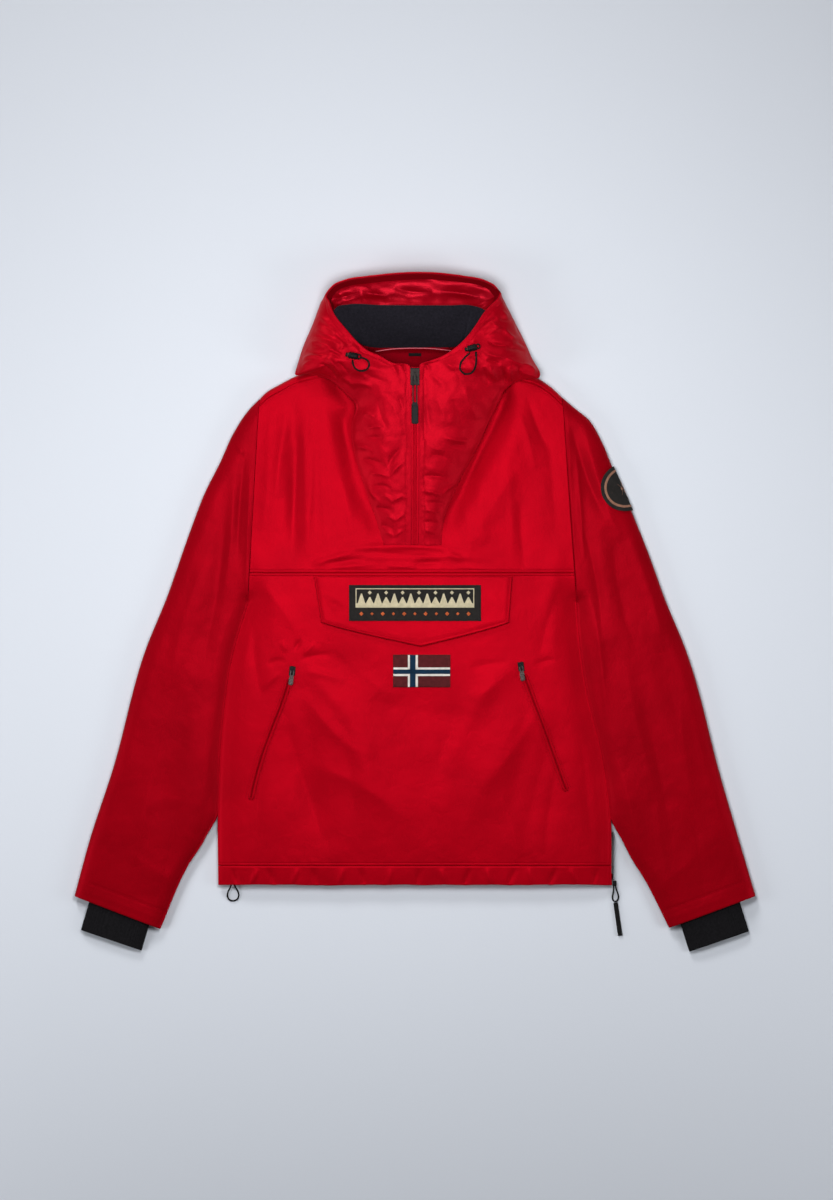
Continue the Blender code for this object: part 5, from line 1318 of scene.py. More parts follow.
def make_crown():
    """The hood's back: folded layers on the surface, seen at the rim and from the hood's end."""
    edge, inward = crown_ring()
    rows = []
    for inset, z in CROWN_PROFILE:
        if inset > 5:
            spot = edge + (np.array(CROWN_MIDDLE) - edge) * inset / 75
        else:
            drift = 0.5 * noise(edge[:, 0], edge[:, 1] + 7 * z, 24, 71)
            spot = edge + inward * (inset + (1 - inset / 4) * (0.6 + drift)[:, None])
        rows.append(np.column_stack([spot, np.full(len(edge), z)]))
    made = cloth_grid("hood_back_cloth", np.array(rows), LOOKS["hood"], wrap=True, up=False)
    sheet_piece(made, (0.330, 0.190), 0.0560, [], "shell", "hood_crown")


def resampled(line, count):
    """The line at even steps of its length."""
    along = along_line(line)
    return point_at(line, along, np.linspace(0, along[-1], count)).T


LINING_START_Y = 386.0
LINING_CREASE = 1.9
LINING_COLUMNS = 260


def make_lining(rims):
    """Facing along the face opening's edge in a darker red that is painted shade, and the satin lining from
    it down behind the fleece.
    """
    left, centre, right = rims
    rim = resampled(np.concatenate([
        left[np.argmax(left[:, 1] > LINING_START_Y):], centre,
        right[np.argmax(right[:, 1] > LINING_START_Y):][::-1],
    ]), LINING_COLUMNS)
    stations = smooth_path(COLLAR, COLLAR_COLUMNS)
    low = resampled(stations[:, :3] * 0.93 + stations[:, 3:] * 0.07 - (0, 0, 4.5), LINING_COLUMNS)
    run = (low - rim)[:, :2]
    gap = np.linalg.norm(run, axis=1)
    inward = run / gap[:, None]
    rows = []
    for drop in (0.0, 0.8, 2.0, 4.0, 6.5, 9.0):
        plan = rim[:, :2] + inward * ((1.0 + drop) * np.minimum(1, gap / 22))[:, None]
        fall = (2.2 + 1.9 * drop) * np.minimum(1, 0.35 + gap / 30)
        fall = fall + 0.35 * noise(rim[:, 0], rim[:, 0] * 0 + drop * 2, 12, 81)
        rows.append(np.column_stack([plan, rim[:, 2] - fall]))
    facing = cloth_grid("hood_facing_cloth", np.array(rows), LOOKS["brow"])
    sheet_piece(facing, (0.340, 0.020), 0.0064, ["hood_lining_satin"], "lining")
    foot = rows[-1] - (0, 0, 0.3)
    depth = np.minimum(1, gap / 36)
    rows = []
    for v in np.linspace(0, 1, 40):
        x, y, z = (foot + (low - foot) * v).T
        swell = math.sin(math.pi * min(1, v * 1.1)) ** 0.5 if v < 0.909 else 0.0
        z = z - 7.0 * depth * math.sin(math.pi * v) ** 0.9
        z = z + depth * LINING_CREASE * crease_height(LINING_CREASES, x, y) * swell
        z = z + 0.6 * depth * noise(x, y * 1.8, 20, 82)
        rows.append(np.column_stack([x, y, np.maximum(z, 9.3)]))
    made = cloth_grid("hood_lining_satin", np.array(rows), LOOKS["lining"])
    sheet_piece(made, (0.300, 0.060), 0.0125, ["hood_back_cloth"], "lining")


PIPING_HALF = 55.0
COLLAR_COLUMNS = 220
COLLAR_SEAMS = (-76.0, 79.0)


def make_collar():
    """Fleece band with its upright seams, its turned top edge, and piping along its foot."""
    stations = smooth_path(COLLAR, COLLAR_COLUMNS)
    top, foot = stations[:, :3], stations[:, 3:]
    grid = []
    for v in np.linspace(0, 1, 60):
        point = top * (1 - v) + foot * v
        point[:, 2] += 3.0 * math.sin(math.pi * v)
        point[:, 2] += 0.45 * noise(point[:, 0], point[:, 1], 26, 91)
        for seam_x in COLLAR_SEAMS:
            point[:, 2] += groove(point[:, 0] - seam_x * (1 - 0.16 * v), 0.9, 1.3)
        grid.append(point)
    grid = np.array(grid)
    normal = turned_up(grid_normals(grid), 30, 110)
    rolled = turned_edge(grid[0], unit(top - foot), normal[0], ROLL, 8.0)
    made = cloth_grid("collar_fleece", np.concatenate([rolled[::-1], grid]), LOOKS["fleece"])
    sheet_piece(made, (0.250, 0.075), 0.0150, ["hood_lining_satin"], "fleece", "collar_band")
    x = np.linspace(-PIPING_HALF, PIPING_HALF, 90)
    y = 368.4 - 4.6 * np.abs(x / PIPING_HALF) ** 2.4
    facing = np.array(NECK_FACING)
    line = np.column_stack([x, y, np.interp(y, facing[:, 0], facing[:, 1]) + 0.9])
    dressed(joined("collar_piping", [tube(line, 0.75)], LOOKS["piping"]), "lining")


NECK_TUCK = ((375.0, 8.7),)
# Hanger loop's section: share of its half width, and how far it is drawn in
LOOP_EDGE = (
    (-0.7, 1.0), (-1.0, 0.6), (-0.9, 0), (-0.3, 0.15), (0.3, 0.15), (0.9, 0), (1.0, 0.6), (0.7, 1.0),
)


def make_neck():
    """Lining strip below the collar's seam, in a darker red that is painted shade, and the hanger loop on it.
    """
    rows = []
    for _, y, z in smooth_path([(0, *row) for row in NECK_FACING + NECK_TUCK], 40):
        half = 66 + 1.6 * max(0.0, y - 360)
        x = np.linspace(-half, half, 90)
        plan = level_line(x, y)
        rows.append(np.column_stack([plan, z + 0.3 * noise(x, plan[:, 1], 14, 95)]))
    # The strip gets the darker nylon: painted shade under the collar.
    made = cloth_grid("neck_lining", np.array(rows), LOOKS["brow"])
    sheet_piece(made, (0.165, 0.043), 0.0064, ["back_cloth"], "lining", "neck_facing")
    low, high = [np.array(corner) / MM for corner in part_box("hanger_loop")]
    middle, half = (low + high) / 2, (high - low) / 2
    turns = np.linspace(-0.5, 0.5, 30) * math.pi
    strap = []
    for across, shrink in LOOP_EDGE:
        plan = level_line(middle[0] + (half[0] - shrink) * np.sin(turns), middle[1] + across * half[1])
        z = low[2] + 0.3 + (half[2] * 2 - 0.6 - shrink) * np.cos(turns) ** 0.6
        strap.append(np.column_stack([plan, z]))
    loop = cloth_grid("hanger_loop_tape", np.array(strap), LOOKS["black_tape"])
    dressed(loop, "black_tape", "hanger_loop")


# ---------------------------------------------------------------- flap, patches and badge

def flap_under(x, y):
    away = np.clip((FLAP_TOP_Y - y) / 100, 0, 1)
    return front_cloth(x, y) * 0.65 + front_top(x, y) * 0.35 + 1.2 + 2.6 * away**1.5


def flap_over(x, y):
    fold = crease_height(FLAP_CREASES, x, y) + 0.3 * noise(x, y, 30, 101)
    return flap_under(x, y) + CLOTH + fold


def flap_plan(u, v):
    foot_x = FLAP_FOOT_X[0] + u * (FLAP_FOOT_X[1] - FLAP_FOOT_X[0])
    share = np.where(
        foot_x < FLAP_POINT[0],
        (foot_x - FLAP_FOOT_X[0]) / (FLAP_POINT[0] - FLAP_FOOT_X[0]),
        (FLAP_FOOT_X[1] - foot_x) / (FLAP_FOOT_X[1] - FLAP_POINT[0]),
    )
    foot_y = FLAP_FOOT_Y + np.clip(share, 0, 1) ** 0.85 * (FLAP_POINT[1] - FLAP_FOOT_Y)
    top_x = FLAP_TOP_X[0] + u * (FLAP_TOP_X[1] - FLAP_TOP_X[0])
    return top_x + v * (foot_x - top_x), FLAP_TOP_Y + v * (foot_y - FLAP_TOP_Y)


EDGE_DROP = (0, 0.12, 0.35, 0.7, 1.15, 1.7)
FLAP_WIDTH, FLAP_DEPTH = 278, 82
LABEL_LIFT, FLAG_LIFT = 1.5, 1.4  # over the cloth they lie on
PEAKS, PEAKS_WIDTH = 14, 161.0


def from_ends(x, y, axis):
    """How far each point of a grid is from the nearer end of its row or column."""
    steps = np.hypot(np.diff(x, axis=axis), np.diff(y, axis=axis))
    start = np.zeros_like(np.take(steps, [0], axis=axis))
    reach = np.concatenate([start, np.cumsum(steps, axis=axis)], axis=axis)
    return np.minimum(reach, np.take(reach, [-1], axis=axis) - reach)


def raised_grid(x, y, over, thickness, round_off=1.3):
    """A plate's top, rounded down to its base along all four edges."""
    edge = np.minimum(from_ends(x, y, 0), from_ends(x, y, 1))
    return np.dstack([x, y, over(x, y) - thickness * (1 - rise(edge / round_off))])


def make_flap():
    steps = EDGE_DROP + (2.4, 3.2, 4.0, 4.8)
    u = fine_steps(FLAP_WIDTH, steps, CLOTH_PITCH) / FLAP_WIDTH
    v = fine_steps(FLAP_DEPTH, steps, CLOTH_PITCH) / FLAP_DEPTH
    uu, vv = np.meshgrid(u, v)
    inset = np.minimum(np.minimum(uu, 1 - uu) * 270, (1 - vv) * 75)

    def over(x, y):
        return flap_over(x, y) + groove(inset - SEAM_STITCH, 0.6, 0.9) - groove(inset - 1.8, 0.45, 0.9)

    grid = raised_grid(*flap_plan(uu, vv), over, CLOTH)
    made = cloth_grid("pocket_flap_cloth", grid, LOOKS["shell"])
    sheet_piece(made, (0.278, 0.098), 0.0230, ["front_body_cloth"], "shell", "pocket_flap")
    side, foot = 0.0148, 0.947  # shares of the flap's width and depth where its stitches run
    line = [(side, s) for s in np.linspace(0.03, foot, 40)]
    line += [(s, foot) for s in np.linspace(side, 1 - side, 120)]
    line += [(1 - side, s) for s in np.linspace(foot, 0.03, 40)]
    plan = np.column_stack(flap_plan(*np.array(line).T))
    return [on_surface(plan, flap_over) - (0, 0, 0.35)]


def polygons(name, shapes, over, base, thickness, look, bevel=0.35):
    """Small flat sewn shapes, each a plate with rounded-off edges, laid on a surface."""
    points, faces = [], []
    for shape in shapes:
        outline = np.array(shape, float)
        inner = outline - unit(outline - outline.mean(axis=0)) * bevel
        start, count = len(points), len(outline)
        for loop, lift in ((outline, 0.0), (outline, thickness * 0.55), (inner, thickness)):
            points += (on_surface(loop, over) + (0, 0, base + lift)).tolist()
        faces += ring_faces(start, count, 2)
        faces.append([start + 2 * count + s for s in range(count)])
    return mesh_object(name, points, faces, look, smooth=False)


def sewn_strip(low_x, low_y, high_x, high_y, over, base, thickness):
    """A sewn strip as a small plate of its own that bends with what it lies on."""
    x, y = [
        low + fine_steps(high - low, (0, 0.1, 0.3, 0.5), min(4.0, max(0.6, (high - low) / 4)))
        for low, high in ((low_x, high_x), (low_y, high_y))
    ]
    grid = raised_grid(*np.meshgrid(x, y), lambda px, py: over(px, py) + base + thickness, thickness, 0.4)
    return grid.reshape(-1, 3), quad_faces(*grid.shape[:2]).tolist()


def patch(name, box, surface, lift, thickness, pitch, look):
    """A sewn patch that lies on a surface, rounded down along its edges."""
    low_x, low_y, high_x, high_y = box
    x = low_x + fine_steps(high_x - low_x, EDGE_DROP[:5], pitch)
    y = low_y + fine_steps(high_y - low_y, EDGE_DROP[:5], pitch)
    grid = raised_grid(*np.meshgrid(x, y), lambda px, py: surface(px, py) + lift, thickness, 0.8)
    return cloth_grid(name, grid, look)


def patch_border(box, inset, surface, lift):
    """The four lines of stitches a little inside a patch's edges."""
    low_x, low_y, high_x, high_y = box
    left, foot, right, top = low_x + inset, low_y + inset, high_x - inset, high_y - inset
    corners = np.array([(left, foot), (right, foot), (right, top), (left, top), (left, foot)])
    t = np.linspace(0, 1, 40)[:, None]
    return [
        on_surface(start + t * (end - start), surface) + (0, 0, lift)
        for start, end in zip(corners[:-1], corners[1:])
    ]


def diamond(x, y, size):
    return [(x - size, y), (x, y - size), (x + size, y), (x, y + size)]


def make_label():
    """A plain woven patch with a frame and rows of plain shapes."""
    made = patch("label_patch_cloth", LABEL_BOX, flap_over, LABEL_LIFT, 1.4, 3.0, LOOKS["patch_black"])
    sheet_piece(made, (0.185, 0.0505), 0.0093, ["pocket_flap_cloth"], "patch", "label_patch")
    side, low, high, wide = 83.0, 5.0, 32.0, 1.3
    foot = low + 6.2
    bars = (
        (-side, high - wide, side, high),
        (-side, low, side, low + wide),
        (-side, low + wide, -side + wide, high - wide),
        (side - wide, low + wide, side, high - wide),
        (-side + wide, low + wide, side - wide, foot),
    )
    parts = [sewn_strip(*bar, flap_over, LABEL_LIFT, 0.4) for bar in bars]
    dressed(joined("label_frame", parts, LOOKS["cream"]), "patch")
    start, pitch = -PEAKS_WIDTH / 2, PEAKS_WIDTH / PEAKS
    half = pitch / 2 - 0.5
    peaks = []
    for place in range(PEAKS):
        middle = start + (place + 0.5) * pitch
        top = foot + (13.5 if place % 2 == 0 else 8.5)
        peaks.append([(middle - half, foot), (middle + half, foot), (middle + 0.8, top), (middle - 0.8, top)])
    peaks += [diamond(start + (2 * place + 1.5) * pitch, 26.0, 2.8) for place in range(PEAKS // 2)]
    dots = [diamond(-75.0 + place * 15.0, -3.6, 2.3 if place % 2 else 3.0) for place in range(11)]
    dressed(polygons("label_peaks", peaks, flap_over, LABEL_LIFT, 0.45, LOOKS["cream"]), "patch")
    dressed(polygons("label_dots", dots, flap_over, LABEL_LIFT, 0.45, LOOKS["orange"]), "patch")
    return patch_border(LABEL_BOX, 2.2, flap_over, LABEL_LIFT)


def make_flag():
    low_x, low_y, high_x, high_y = FLAG_BOX
    made = patch("flag_patch_cloth", FLAG_BOX, front_cloth, FLAG_LIFT, 1.2, 2.5, LOOKS["maroon"])
    sheet_piece(made, (0.0805, 0.046), 0.0037, ["front_body_cloth"], "flag", "flag_patch")
    # each cross: upright's sides, bar's sides, gap to the edge, base, thickness
    crosses = (
        ("flag_cross_edge", (-9.9, 4.2), (-90.8, -78.7), 0.6, 1.35, 0.3, "white"),
        ("flag_cross", (-7.1, 1.0), (-87.8, -81.5), 0.4, 1.5, 0.4, "navy"),
    )
    for name, (left, right), (foot, top), inset, base, thickness, look in crosses:
        bars = (
            (left, low_y + inset, right, high_y - inset),
            (low_x + inset, foot, high_x - inset, top),
        )
        parts = [sewn_strip(*bar, front_cloth, base, thickness) for bar in bars]
        dressed(joined(name, parts, LOOKS[look]), "flag")
    return patch_border(FLAG_BOX, 1.4, front_cloth, FLAG_LIFT)


def badge_field():
    """Points and normals over the sleeve's edge: first along it, then up from the underside."""
    sleeve = (RIGHT_SLEEVE_OUTER, RIGHT_SLEEVE_INNER, RIGHT_SLEEVE_FOLDS)
    fine = smooth_path(RIGHT_SLEEVE_OUTER, 400)
    along = along_line(fine)
    centre = np.interp(-BADGE_Y, -fine[:, 1], along)
    reaches = np.linspace(-1, 1, 61) * BADGE_RADIUS
    arcs = np.linspace(-1, 1, 81) * BADGE_RADIUS
    insets = np.concatenate([[0.4, 0.9, 1.8, 3.0], np.arange(5.0, 46.0, 1.5)])
    rows = []
    for reach in reaches:
        spot, ahead = [point_at(fine, along, centre + reach + step) for step in (0, 2)]
        onward = unit(ahead - spot)
        x, y = (spot + np.outer(insets, (onward[1], -onward[0]))).T
        over, under = [
            np.column_stack([x, y, sleeve_heights(*sleeve, x, y, below)]) for below in (False, True)
        ]
        under = under[2:][::-1]
        profile = np.concatenate([under, [[*spot, (over[0, 2] + under[-1, 2]) / 2]], over])
        arc = along_line(profile)
        rows.append(point_at(profile, arc - arc[len(under)], arcs).T)
    field = np.array(rows)
    return reaches, arcs, field, turned_up(grid_normals(field), 30, -1)


def on_badge(field, reach, arc, lift):
    """Places on the badge's field, lifted off it along its normals."""
    reaches, arcs, points, normals = field
    row = np.interp(reach, reaches, np.arange(len(reaches)))
    column = np.interp(arc, arcs, np.arange(len(arcs)))
    i = np.minimum(row.astype(int), len(reaches) - 2)
    j = np.minimum(column.astype(int), len(arcs) - 2)
    f, g = (row - i)[..., None], (column - j)[..., None]

    def mixed(values):
        return (
            values[i, j] * (1 - f) * (1 - g) + values[i + 1, j] * f * (1 - g)
            + values[i, j + 1] * (1 - f) * g + values[i + 1, j + 1] * f * g
        )

    return mixed(points) + unit(mixed(normals)) * np.asarray(lift)[..., None]


# Badge from its middle out: share of its radius, and height over its cloth
BADGE_PROFILE = (
    (0.0, 0), (0.12, 0), (0.25, 0), (0.4, 0), (0.55, 0), (0.68, 0), (0.755, 0), (0.77, 0.25), (0.80, 0.35),
    (0.835, 0.25), (0.85, 0), (0.9, 0.05), (0.94, 0.1), (0.97, 0.0), (0.99, -0.25), (1.0, -0.6), (1.0, -1.3),
)
BADGE_RING = (6, 10)  # which rows of its faces are the tan ring


def make_badge():
    """A round patch folded over the sleeve's edge: a ring and a plain star."""
    field = badge_field()
    shares, lifts = np.array(BADGE_PROFILE).T
    turns = 120
    angles = np.linspace(0, 2 * math.pi, turns, endpoint=False)
    radius = shares[:, None] * BADGE_RADIUS * 0.995
    reach, arc = radius * np.cos(angles), radius * np.sin(angles)
    grid = on_badge(field, reach, arc, np.broadcast_to(lifts[:, None] + 2.7, reach.shape))
    made = cloth_grid("sleeve_badge_cloth", grid, LOOKS["patch_black"], wrap=True, up=False)
    made.data.materials.append(LOOKS["tan"])
    ring = np.zeros(len(made.data.polygons), int)
    ring[BADGE_RING[0] * turns:BADGE_RING[1] * turns] = 1
    made.data.polygons.foreach_set("material_index", ring)
    sheet_piece(made, (0.067, 0.067), 0.0034, ["sleeve_right_cloth"], "patch", "sleeve_badge")
    points, faces = [], []
    for first_turn, tip, half in ((0.0, 20.0, 0.40), (math.pi / 4, 11.5, 0.36)):
        for turn in first_turn + np.arange(4) * math.pi / 2:
            swings, sizes = turn + np.array([-half, 0.0, half]), np.array([5.0, tip, 5.0])
            reach = np.append(0.0, sizes * np.cos(swings))
            arc = np.append(0.0, sizes * np.sin(swings))
            start = len(points)
            for lift in (2.6, 3.0):
                points += on_badge(field, reach, arc, np.full(4, lift)).tolist()
            faces.append([start + 4 + s for s in range(4)])
            faces += ring_faces(start, 4, 1)
    dressed(mesh_object("badge_star", points, faces, LOOKS["tan"], smooth=False), "patch")


# ---------------------------------------------------------------- zips, locks and small pieces

def teeth_run(line, pitch=1.55, length=1.9, width=0.95, height=1.0, offset=0.75, lift=0.2):
    """Zip teeth along a line, by turns left and right of it."""
    along = along_line(line)
    points, faces = [], []
    for index, centre in enumerate(np.arange(pitch, along[-1], pitch)):
        place, after = [point_at(line, along, centre + step) for step in (0, 0.5)]
        ahead = unit(after - place)
        side, up = across_and_up(ahead)
        middle = place + side * (offset if index % 2 else -offset) + up * lift
        start = len(points)
        for level, shrink in ((0.0, 1.0), (0.6, 1.0), (1.0, 0.65)):
            half_long, half_wide = side * length / 2 * shrink, ahead * width / 2 * shrink
            for a, b in ((-1, -1), (1, -1), (1, 1), (-1, 1)):
                points.append(middle + a * half_long + b * half_wide + up * height * level)
        faces += ring_faces(start, 4, 2)
        faces.append([start + 8 + s for s in range(4)])
    return np.array(points), faces
ZIP_FOOT_Y = 93.2
ZIP_HEAD_Y = 340.6
ZIP_RISE = 0.5


def both_ways(steps):
    """Steps left of a middle line, the line itself, and the same steps right of it."""
    return np.array([-step for step in steps[::-1]] + [0, *steps])


def make_front_zip():
    stations = smooth_path([row[:3] for row in LEFT_HOOD[:8]], 120)
    y, z = stations[:, 1], stations[:, 2] + ZIP_RISE
    y = ZIP_FOOT_Y + (y - y[0]) * (ZIP_HEAD_Y - ZIP_FOOT_Y) / (y[-1] - y[0])
    across = both_ways((0.25, 0.6, 1.4, 1.8, 2.1, 2.4, 3.0, 3.6, 4.2, 4.6))
    sink = 0.7 * np.exp(-(((np.abs(across) - 2.1) / 0.35) ** 2)) + 0.5 * np.exp(-((across / 0.3) ** 2))
    sink = sink - 0.4 * smooth_step(2.0, 1.2, np.abs(across))
    rows = [np.column_stack([np.full(len(y), x), y, z - 0.4 - drop]) for x, drop in zip(across, sink)]
    dressed(cloth_grid("front_zip_tape", np.array(rows), LOOKS["tape"]), "zip_tape", "front_zip")
    line = np.column_stack([np.zeros(len(y)), y, z - 0.6])
    chain = teeth_run(line, pitch=1.3, length=1.3, width=0.8, height=0.55, offset=0.75)
    dressed(joined("front_zip_teeth", [chain], LOOKS["teeth"], smooth=False), "zip_tape")


CHAIN_SHORT = 2  # points left out at each end of the chain
LIP_REACH = 4.8  # from the middle of the opening
POCKET_STITCH = 7.6


def make_pocket_zip(side, line):
    """Two folded lips that meet over the zip. Between them the zip shows as a dark red line: its own tone
    deepened by painted shade.
    """
    centre = smooth_path(line, 110)
    ahead = unit(np.gradient(centre, axis=0))
    across = np.column_stack([-ahead[:, 1], ahead[:, 0]])
    reach = along_line(centre)
    from_end = np.minimum(reach, reach[-1] - reach)
    ends = rise(from_end / 5.0)
    narrowing = (0.35 + 0.65 * rise(from_end / 9.0))[:, None]
    rows = []
    for offset in both_ways((0.25, 0.6, 1.0, 1.7, 2.6, 3.5, 4.2, 4.6, LIP_REACH)):
        lip = 2.2 * rise((LIP_REACH - abs(offset)) / 2.6) - 3.0 * math.exp(-((offset / 1.2) ** 2))
        row = on_surface(centre + across * offset * narrowing, front_cloth)
        row[:, 2] += 0.1 + lip * ends
        rows.append(row)
    made = cloth_grid(f"pocket_lips_{side}", np.array(rows), LOOKS["shell"])
    sheet_piece(made, (0.016, 0.190), 0.0027, ["front_body_cloth"], "shell", f"pocket_zip_{side}")
    rows = []
    for offset in both_ways((0.6, 1.1)):
        row = on_surface(centre + across * offset, front_cloth)
        row[:, 2] += (0.5 - 0.3 * abs(offset)) * ends
        rows.append(row[CHAIN_SHORT:-CHAIN_SHORT])
    # The chain's darker red is partly the zip and partly painted shade of the groove.
    dressed(cloth_grid(f"pocket_chain_{side}", np.array(rows), LOOKS["chain"]), "zip_tape")
    return [on_surface(centre + across * offset, front_cloth) for offset in (-POCKET_STITCH, POCKET_STITCH)]


def lathe(profile, sides=28):
    """Points and faces of a turned form along X, from rows of x and radius."""
    angles = np.linspace(0, 2 * math.pi, sides, endpoint=False)
    points = [(x, r * math.cos(a), r * math.sin(a)) for x, r in profile for a in angles]
    faces = quad_faces(len(profile), sides, wrap=True).tolist() + end_caps(len(profile), sides)
    return np.array(points), faces


def placed(part, centre, turn):
    """A part's points and faces, turned about Z and moved to their centre."""
    points, faces = part
    c, s = math.cos(turn), math.sin(turn)
    return points @ np.array([[c, s, 0], [-s, c, 0], [0, 0, 1]]) + centre, faces


SIDE_ZIP_Y = (-309, -377)
# Across the side zip's tape: height, and how far it stands out
SIDE_TAPE = (
    (4.2, 0.4), (4.6, 1.2), (6.0, 1.3), (7.2, 1.3), (8.0, 0.9), (8.8, 1.3), (10.0, 1.3), (11.4, 1.2),
    (11.8, 0.4),
)


def make_side_zip():
    """The short zip in the side seam: its tape with a row of teeth."""
    y = np.linspace(SIDE_ZIP_Y[0], SIDE_ZIP_Y[1], 60)
    edge = x_at(RIGHT_SIDE, y) + 0.6
    grid = np.array([np.column_stack([edge + proud, y, np.full(len(y), z)]) for z, proud in SIDE_TAPE])
    made = cloth_grid("side_zip_tape", grid, LOOKS["black_tape"], up=False)
    dressed(made, "black_tape", "side_zip")
    middle = grid[len(SIDE_TAPE) // 2]
    chain = joined("side_zip_teeth", [teeth_run(middle)], LOOKS["black_plastic"], smooth=False)
    dressed(chain, "black_tape")


# Turned forms of a cord lock along its length: x, radius
LOCK_BARREL = (
    (-6.9, 2.6), (-6.8, 3.6), (-6.2, 4.3), (-5.2, 4.55), (-3.6, 4.6), (-3.3, 4.25), (-2.7, 4.25), (-2.4, 4.6),
    (0.2, 4.65), (0.5, 4.3), (1.1, 4.3), (1.4, 4.65), (4.6, 4.5), (5.8, 4.1), (6.4, 3.4), (6.6, 2.4),
)
LOCK_PLUNGER = ((-11.0, 1.4), (-10.8, 2.4), (-10.2, 3.0), (-8.6, 3.1), (-8.2, 2.6), (-8.0, 1.9), (-6.6, 1.9))


def make_lock(side, turn):
    """A cord lock: a grooved barrel, a plunger with its spring, and an eye for the cord."""
    low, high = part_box(f"cord_lock_{side}")
    centre = (np.array(low) + np.array(high)) / 2 / MM
    angles = np.linspace(0, 2 * math.pi, 26)[:-1]
    eye = tube([(8.2 + 2.4 * math.cos(a), 3.0 * math.sin(a), 0.0) for a in angles], 1.0, 8, closed=True)
    parts = [placed(part, centre, turn) for part in (lathe(LOCK_BARREL), lathe(LOCK_PLUNGER), eye)]
    made = joined(f"cord_lock_{side}_body", parts, LOOKS["black_plastic"])
    made.data.set_sharp_from_angle(angle=math.radians(40))
    dressed(made, "black_plastic", f"cord_lock_{side}")
    coil = [(-8.0 + 1.3 * t / 26, 2.35 * math.cos(t), 2.35 * math.sin(t)) for t in np.linspace(0, 26, 120)]
    spring = joined(f"cord_lock_{side}_spring", [placed(tube(coil, 0.28, 6), centre, turn)], LOOKS["spring"])
    dressed(spring, "slider_metal")


# ---------------------------------------------------------------- floor and lights

FLOOR_COLOUR = (0.69, 0.725, 0.79)
FLOOR_HALF, FLOOR_Z = 4000.0, -0.4
WORLD_COLOUR = (0.93, 0.96, 1.0)
WORLD_STRENGTH = 0.08
# name, place, aim, size, power, colour
LIGHTS = (
    ("key_top_left", (-1.35, 4.0, 2.45), (-0.05, 0.05, 0), 1.3, 100, (1.0, 0.99, 0.98)),
    ("overhead", (-0.05, 0.22, 1.25), (-0.04, 0.1, 0), 0.6, 11.0, (1.0, 1.0, 1.0)),
    ("low_left", (-1.75, -0.45, 0.9), (-0.3, -0.2, 0), 0.8, 11.5, (0.98, 0.99, 1.0)),
    ("low_right", (1.75, -0.45, 0.9), (0.3, -0.2, 0), 0.8, 9.5, (0.98, 0.99, 1.0)),
)


def make_stage():
    look = Look("floor_paper", FLOOR_COLOUR, 0.9, specular=0.1)
    look.bump(look.noise(3.0, detail=3.0), 0.08)
    corners = [(x * FLOOR_HALF, y * FLOOR_HALF, FLOOR_Z) for x, y in ((-1, -1), (1, -1), (1, 1), (-1, 1))]
    mesh_object("floor", corners, [(0, 1, 2, 3)], look.material, smooth=False)
    world = bpy.data.worlds.new("studio")
    world.use_nodes = True
    background = world.node_tree.nodes["Background"]
    background.inputs["Color"].default_value = (*WORLD_COLOUR, 1)
    background.inputs["Strength"].default_value = WORLD_STRENGTH
    bpy.context.scene.world = world
    for name, place, aim, size, power, colour in LIGHTS:
        light = bpy.data.lights.new(name, "AREA")
        light.shape = "DISK"
        light.size = size
        light.energy = power
        light.color = colour
        lamp = add_object(name, light)
        lamp.location = place
        lamp.rotation_euler = (Vector(aim) - Vector(place)).to_track_quat("-Z", "Y").to_euler()
    bpy.context.scene.view_settings.view_transform = "Standard"


def carried_over():
    """Node-based materials for the CAD nodes that stay."""
    looks = {
        "black_plastic": (
            "front_zip_pull", "pocket_slider_left", "pocket_slider_right", "side_zip_slider", "side_zip_tab",
        ),
        "slider": ("front_zip_slider",),
        "pull": ("pocket_pull_left", "pocket_pull_right"),
    }
    for look, nodes in looks.items():
        for node in nodes:
            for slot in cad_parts[node].material_slots:
                slot.material = LOOKS[look]


def body_stitch_lines():
    """Topstitching beside the yoke's and the hem's seams, and below the shoulders."""
    lines = []
    for y in (YOKE_SEAM_Y + YOKE_STITCH, YOKE_SEAM_Y - YOKE_STITCH, HEM_SEAM_Y + SEAM_STITCH):
        low = float(side_x(LEFT_SIDE, LEFT_ARMHOLE, y)) + 3
        high = float(side_x(RIGHT_SIDE, RIGHT_ARMHOLE, y)) - 3
        lines.append(on_surface(level_line(np.linspace(low, high, 200), y), front_cloth))
    for low, high in ((-214, -112), (112, 203)):
        x = np.linspace(low, high, 60)
        y = shoulder_y(x) - SHOULDER_RADIUS - YOKE_TUCK - SEAM_STITCH
        lines.append(on_surface(np.column_stack([x, y]), front_cloth))
    return lines


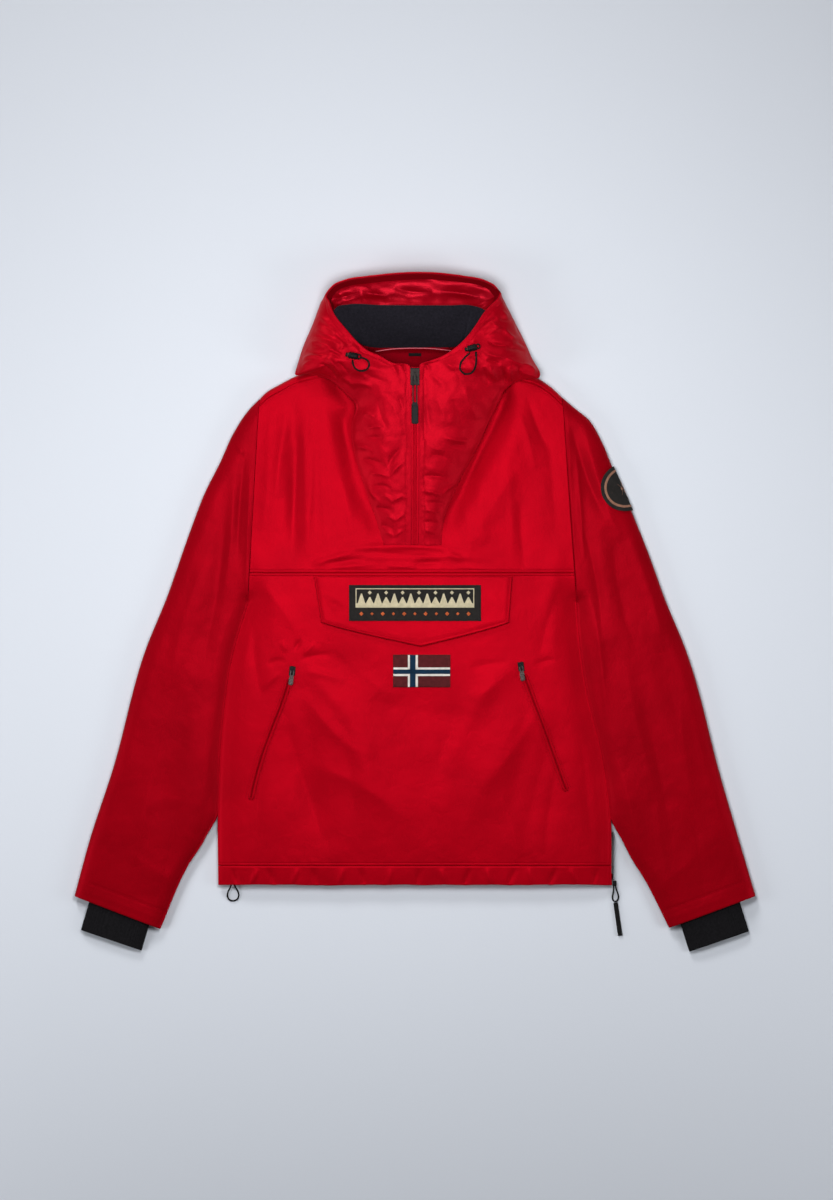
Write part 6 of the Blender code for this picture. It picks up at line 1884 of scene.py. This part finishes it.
def main():
    make_camera()
    make_stage()
    carried_over()
    make_cord("hood_cord_left_braid", LEFT_LOOP, CORD_MM, 40)
    make_cord("hood_cord_right_braid", RIGHT_LOOP, CORD_MM, 40)
    make_cord("hem_cord_braid", HEM_LOOP, HEM_CORD_MM, 40)
    make_cord("side_zip_cord_braid", SIDE_LOOP, HEM_CORD_MM, 36)
    make_back()
    make_front_body()
    make_front_yoke()
    make_hem()
    left = (LEFT_SLEEVE_OUTER, LEFT_SLEEVE_INNER, LEFT_SLEEVE_FOLDS, LEFT_SLEEVE_CREASES)
    right = (RIGHT_SLEEVE_OUTER, RIGHT_SLEEVE_INNER, RIGHT_SLEEVE_FOLDS, RIGHT_SLEEVE_CREASES)
    sleeve_lines = make_sleeve("sleeve_left", *left, -1, 201) + make_sleeve("sleeve_right", *right, 1, 211)
    make_knit_cuff("knit_cuff_left", LEFT_CUFF)
    make_knit_cuff("knit_cuff_right", RIGHT_CUFF)
    hood_left = make_hood_side("hood_left", LEFT_HOOD, LEFT_HOOD_CREASES, 51)
    hood_right = make_hood_side("hood_right", RIGHT_HOOD, RIGHT_HOOD_CREASES, 54)
    centre = make_hood_centre()
    make_crown()
    make_lining((hood_left[:, 0], centre[:, 0], hood_right[:, 0]))
    make_collar()
    make_neck()
    flap_lines = make_flap()
    label_lines = make_label()
    flag_lines = make_flag()
    make_badge()
    make_front_zip()
    pocket_lines = make_pocket_zip("left", LEFT_POCKET) + make_pocket_zip("right", RIGHT_POCKET)
    make_side_zip()
    make_lock("left", LEFT_LOCK_TURN)
    make_lock("right", RIGHT_LOCK_TURN)
    rim_lines = [grid[3:-3, RIM_SEAM] for grid in (hood_left, centre, hood_right)]
    stitches("topstitching", body_stitch_lines() + sleeve_lines + rim_lines, LOOKS["thread"])
    stitches("flap_and_pocket_stitching", flap_lines + pocket_lines, LOOKS["thread"])
    patch_thread = {"pitch": 2.6, "length": 1.8, "radius": 0.25}
    stitches("label_stitching", label_lines, LOOKS["black_tape"], **patch_thread)
    stitches("flag_stitching", flag_lines, LOOKS["maroon"], **patch_thread)


main()
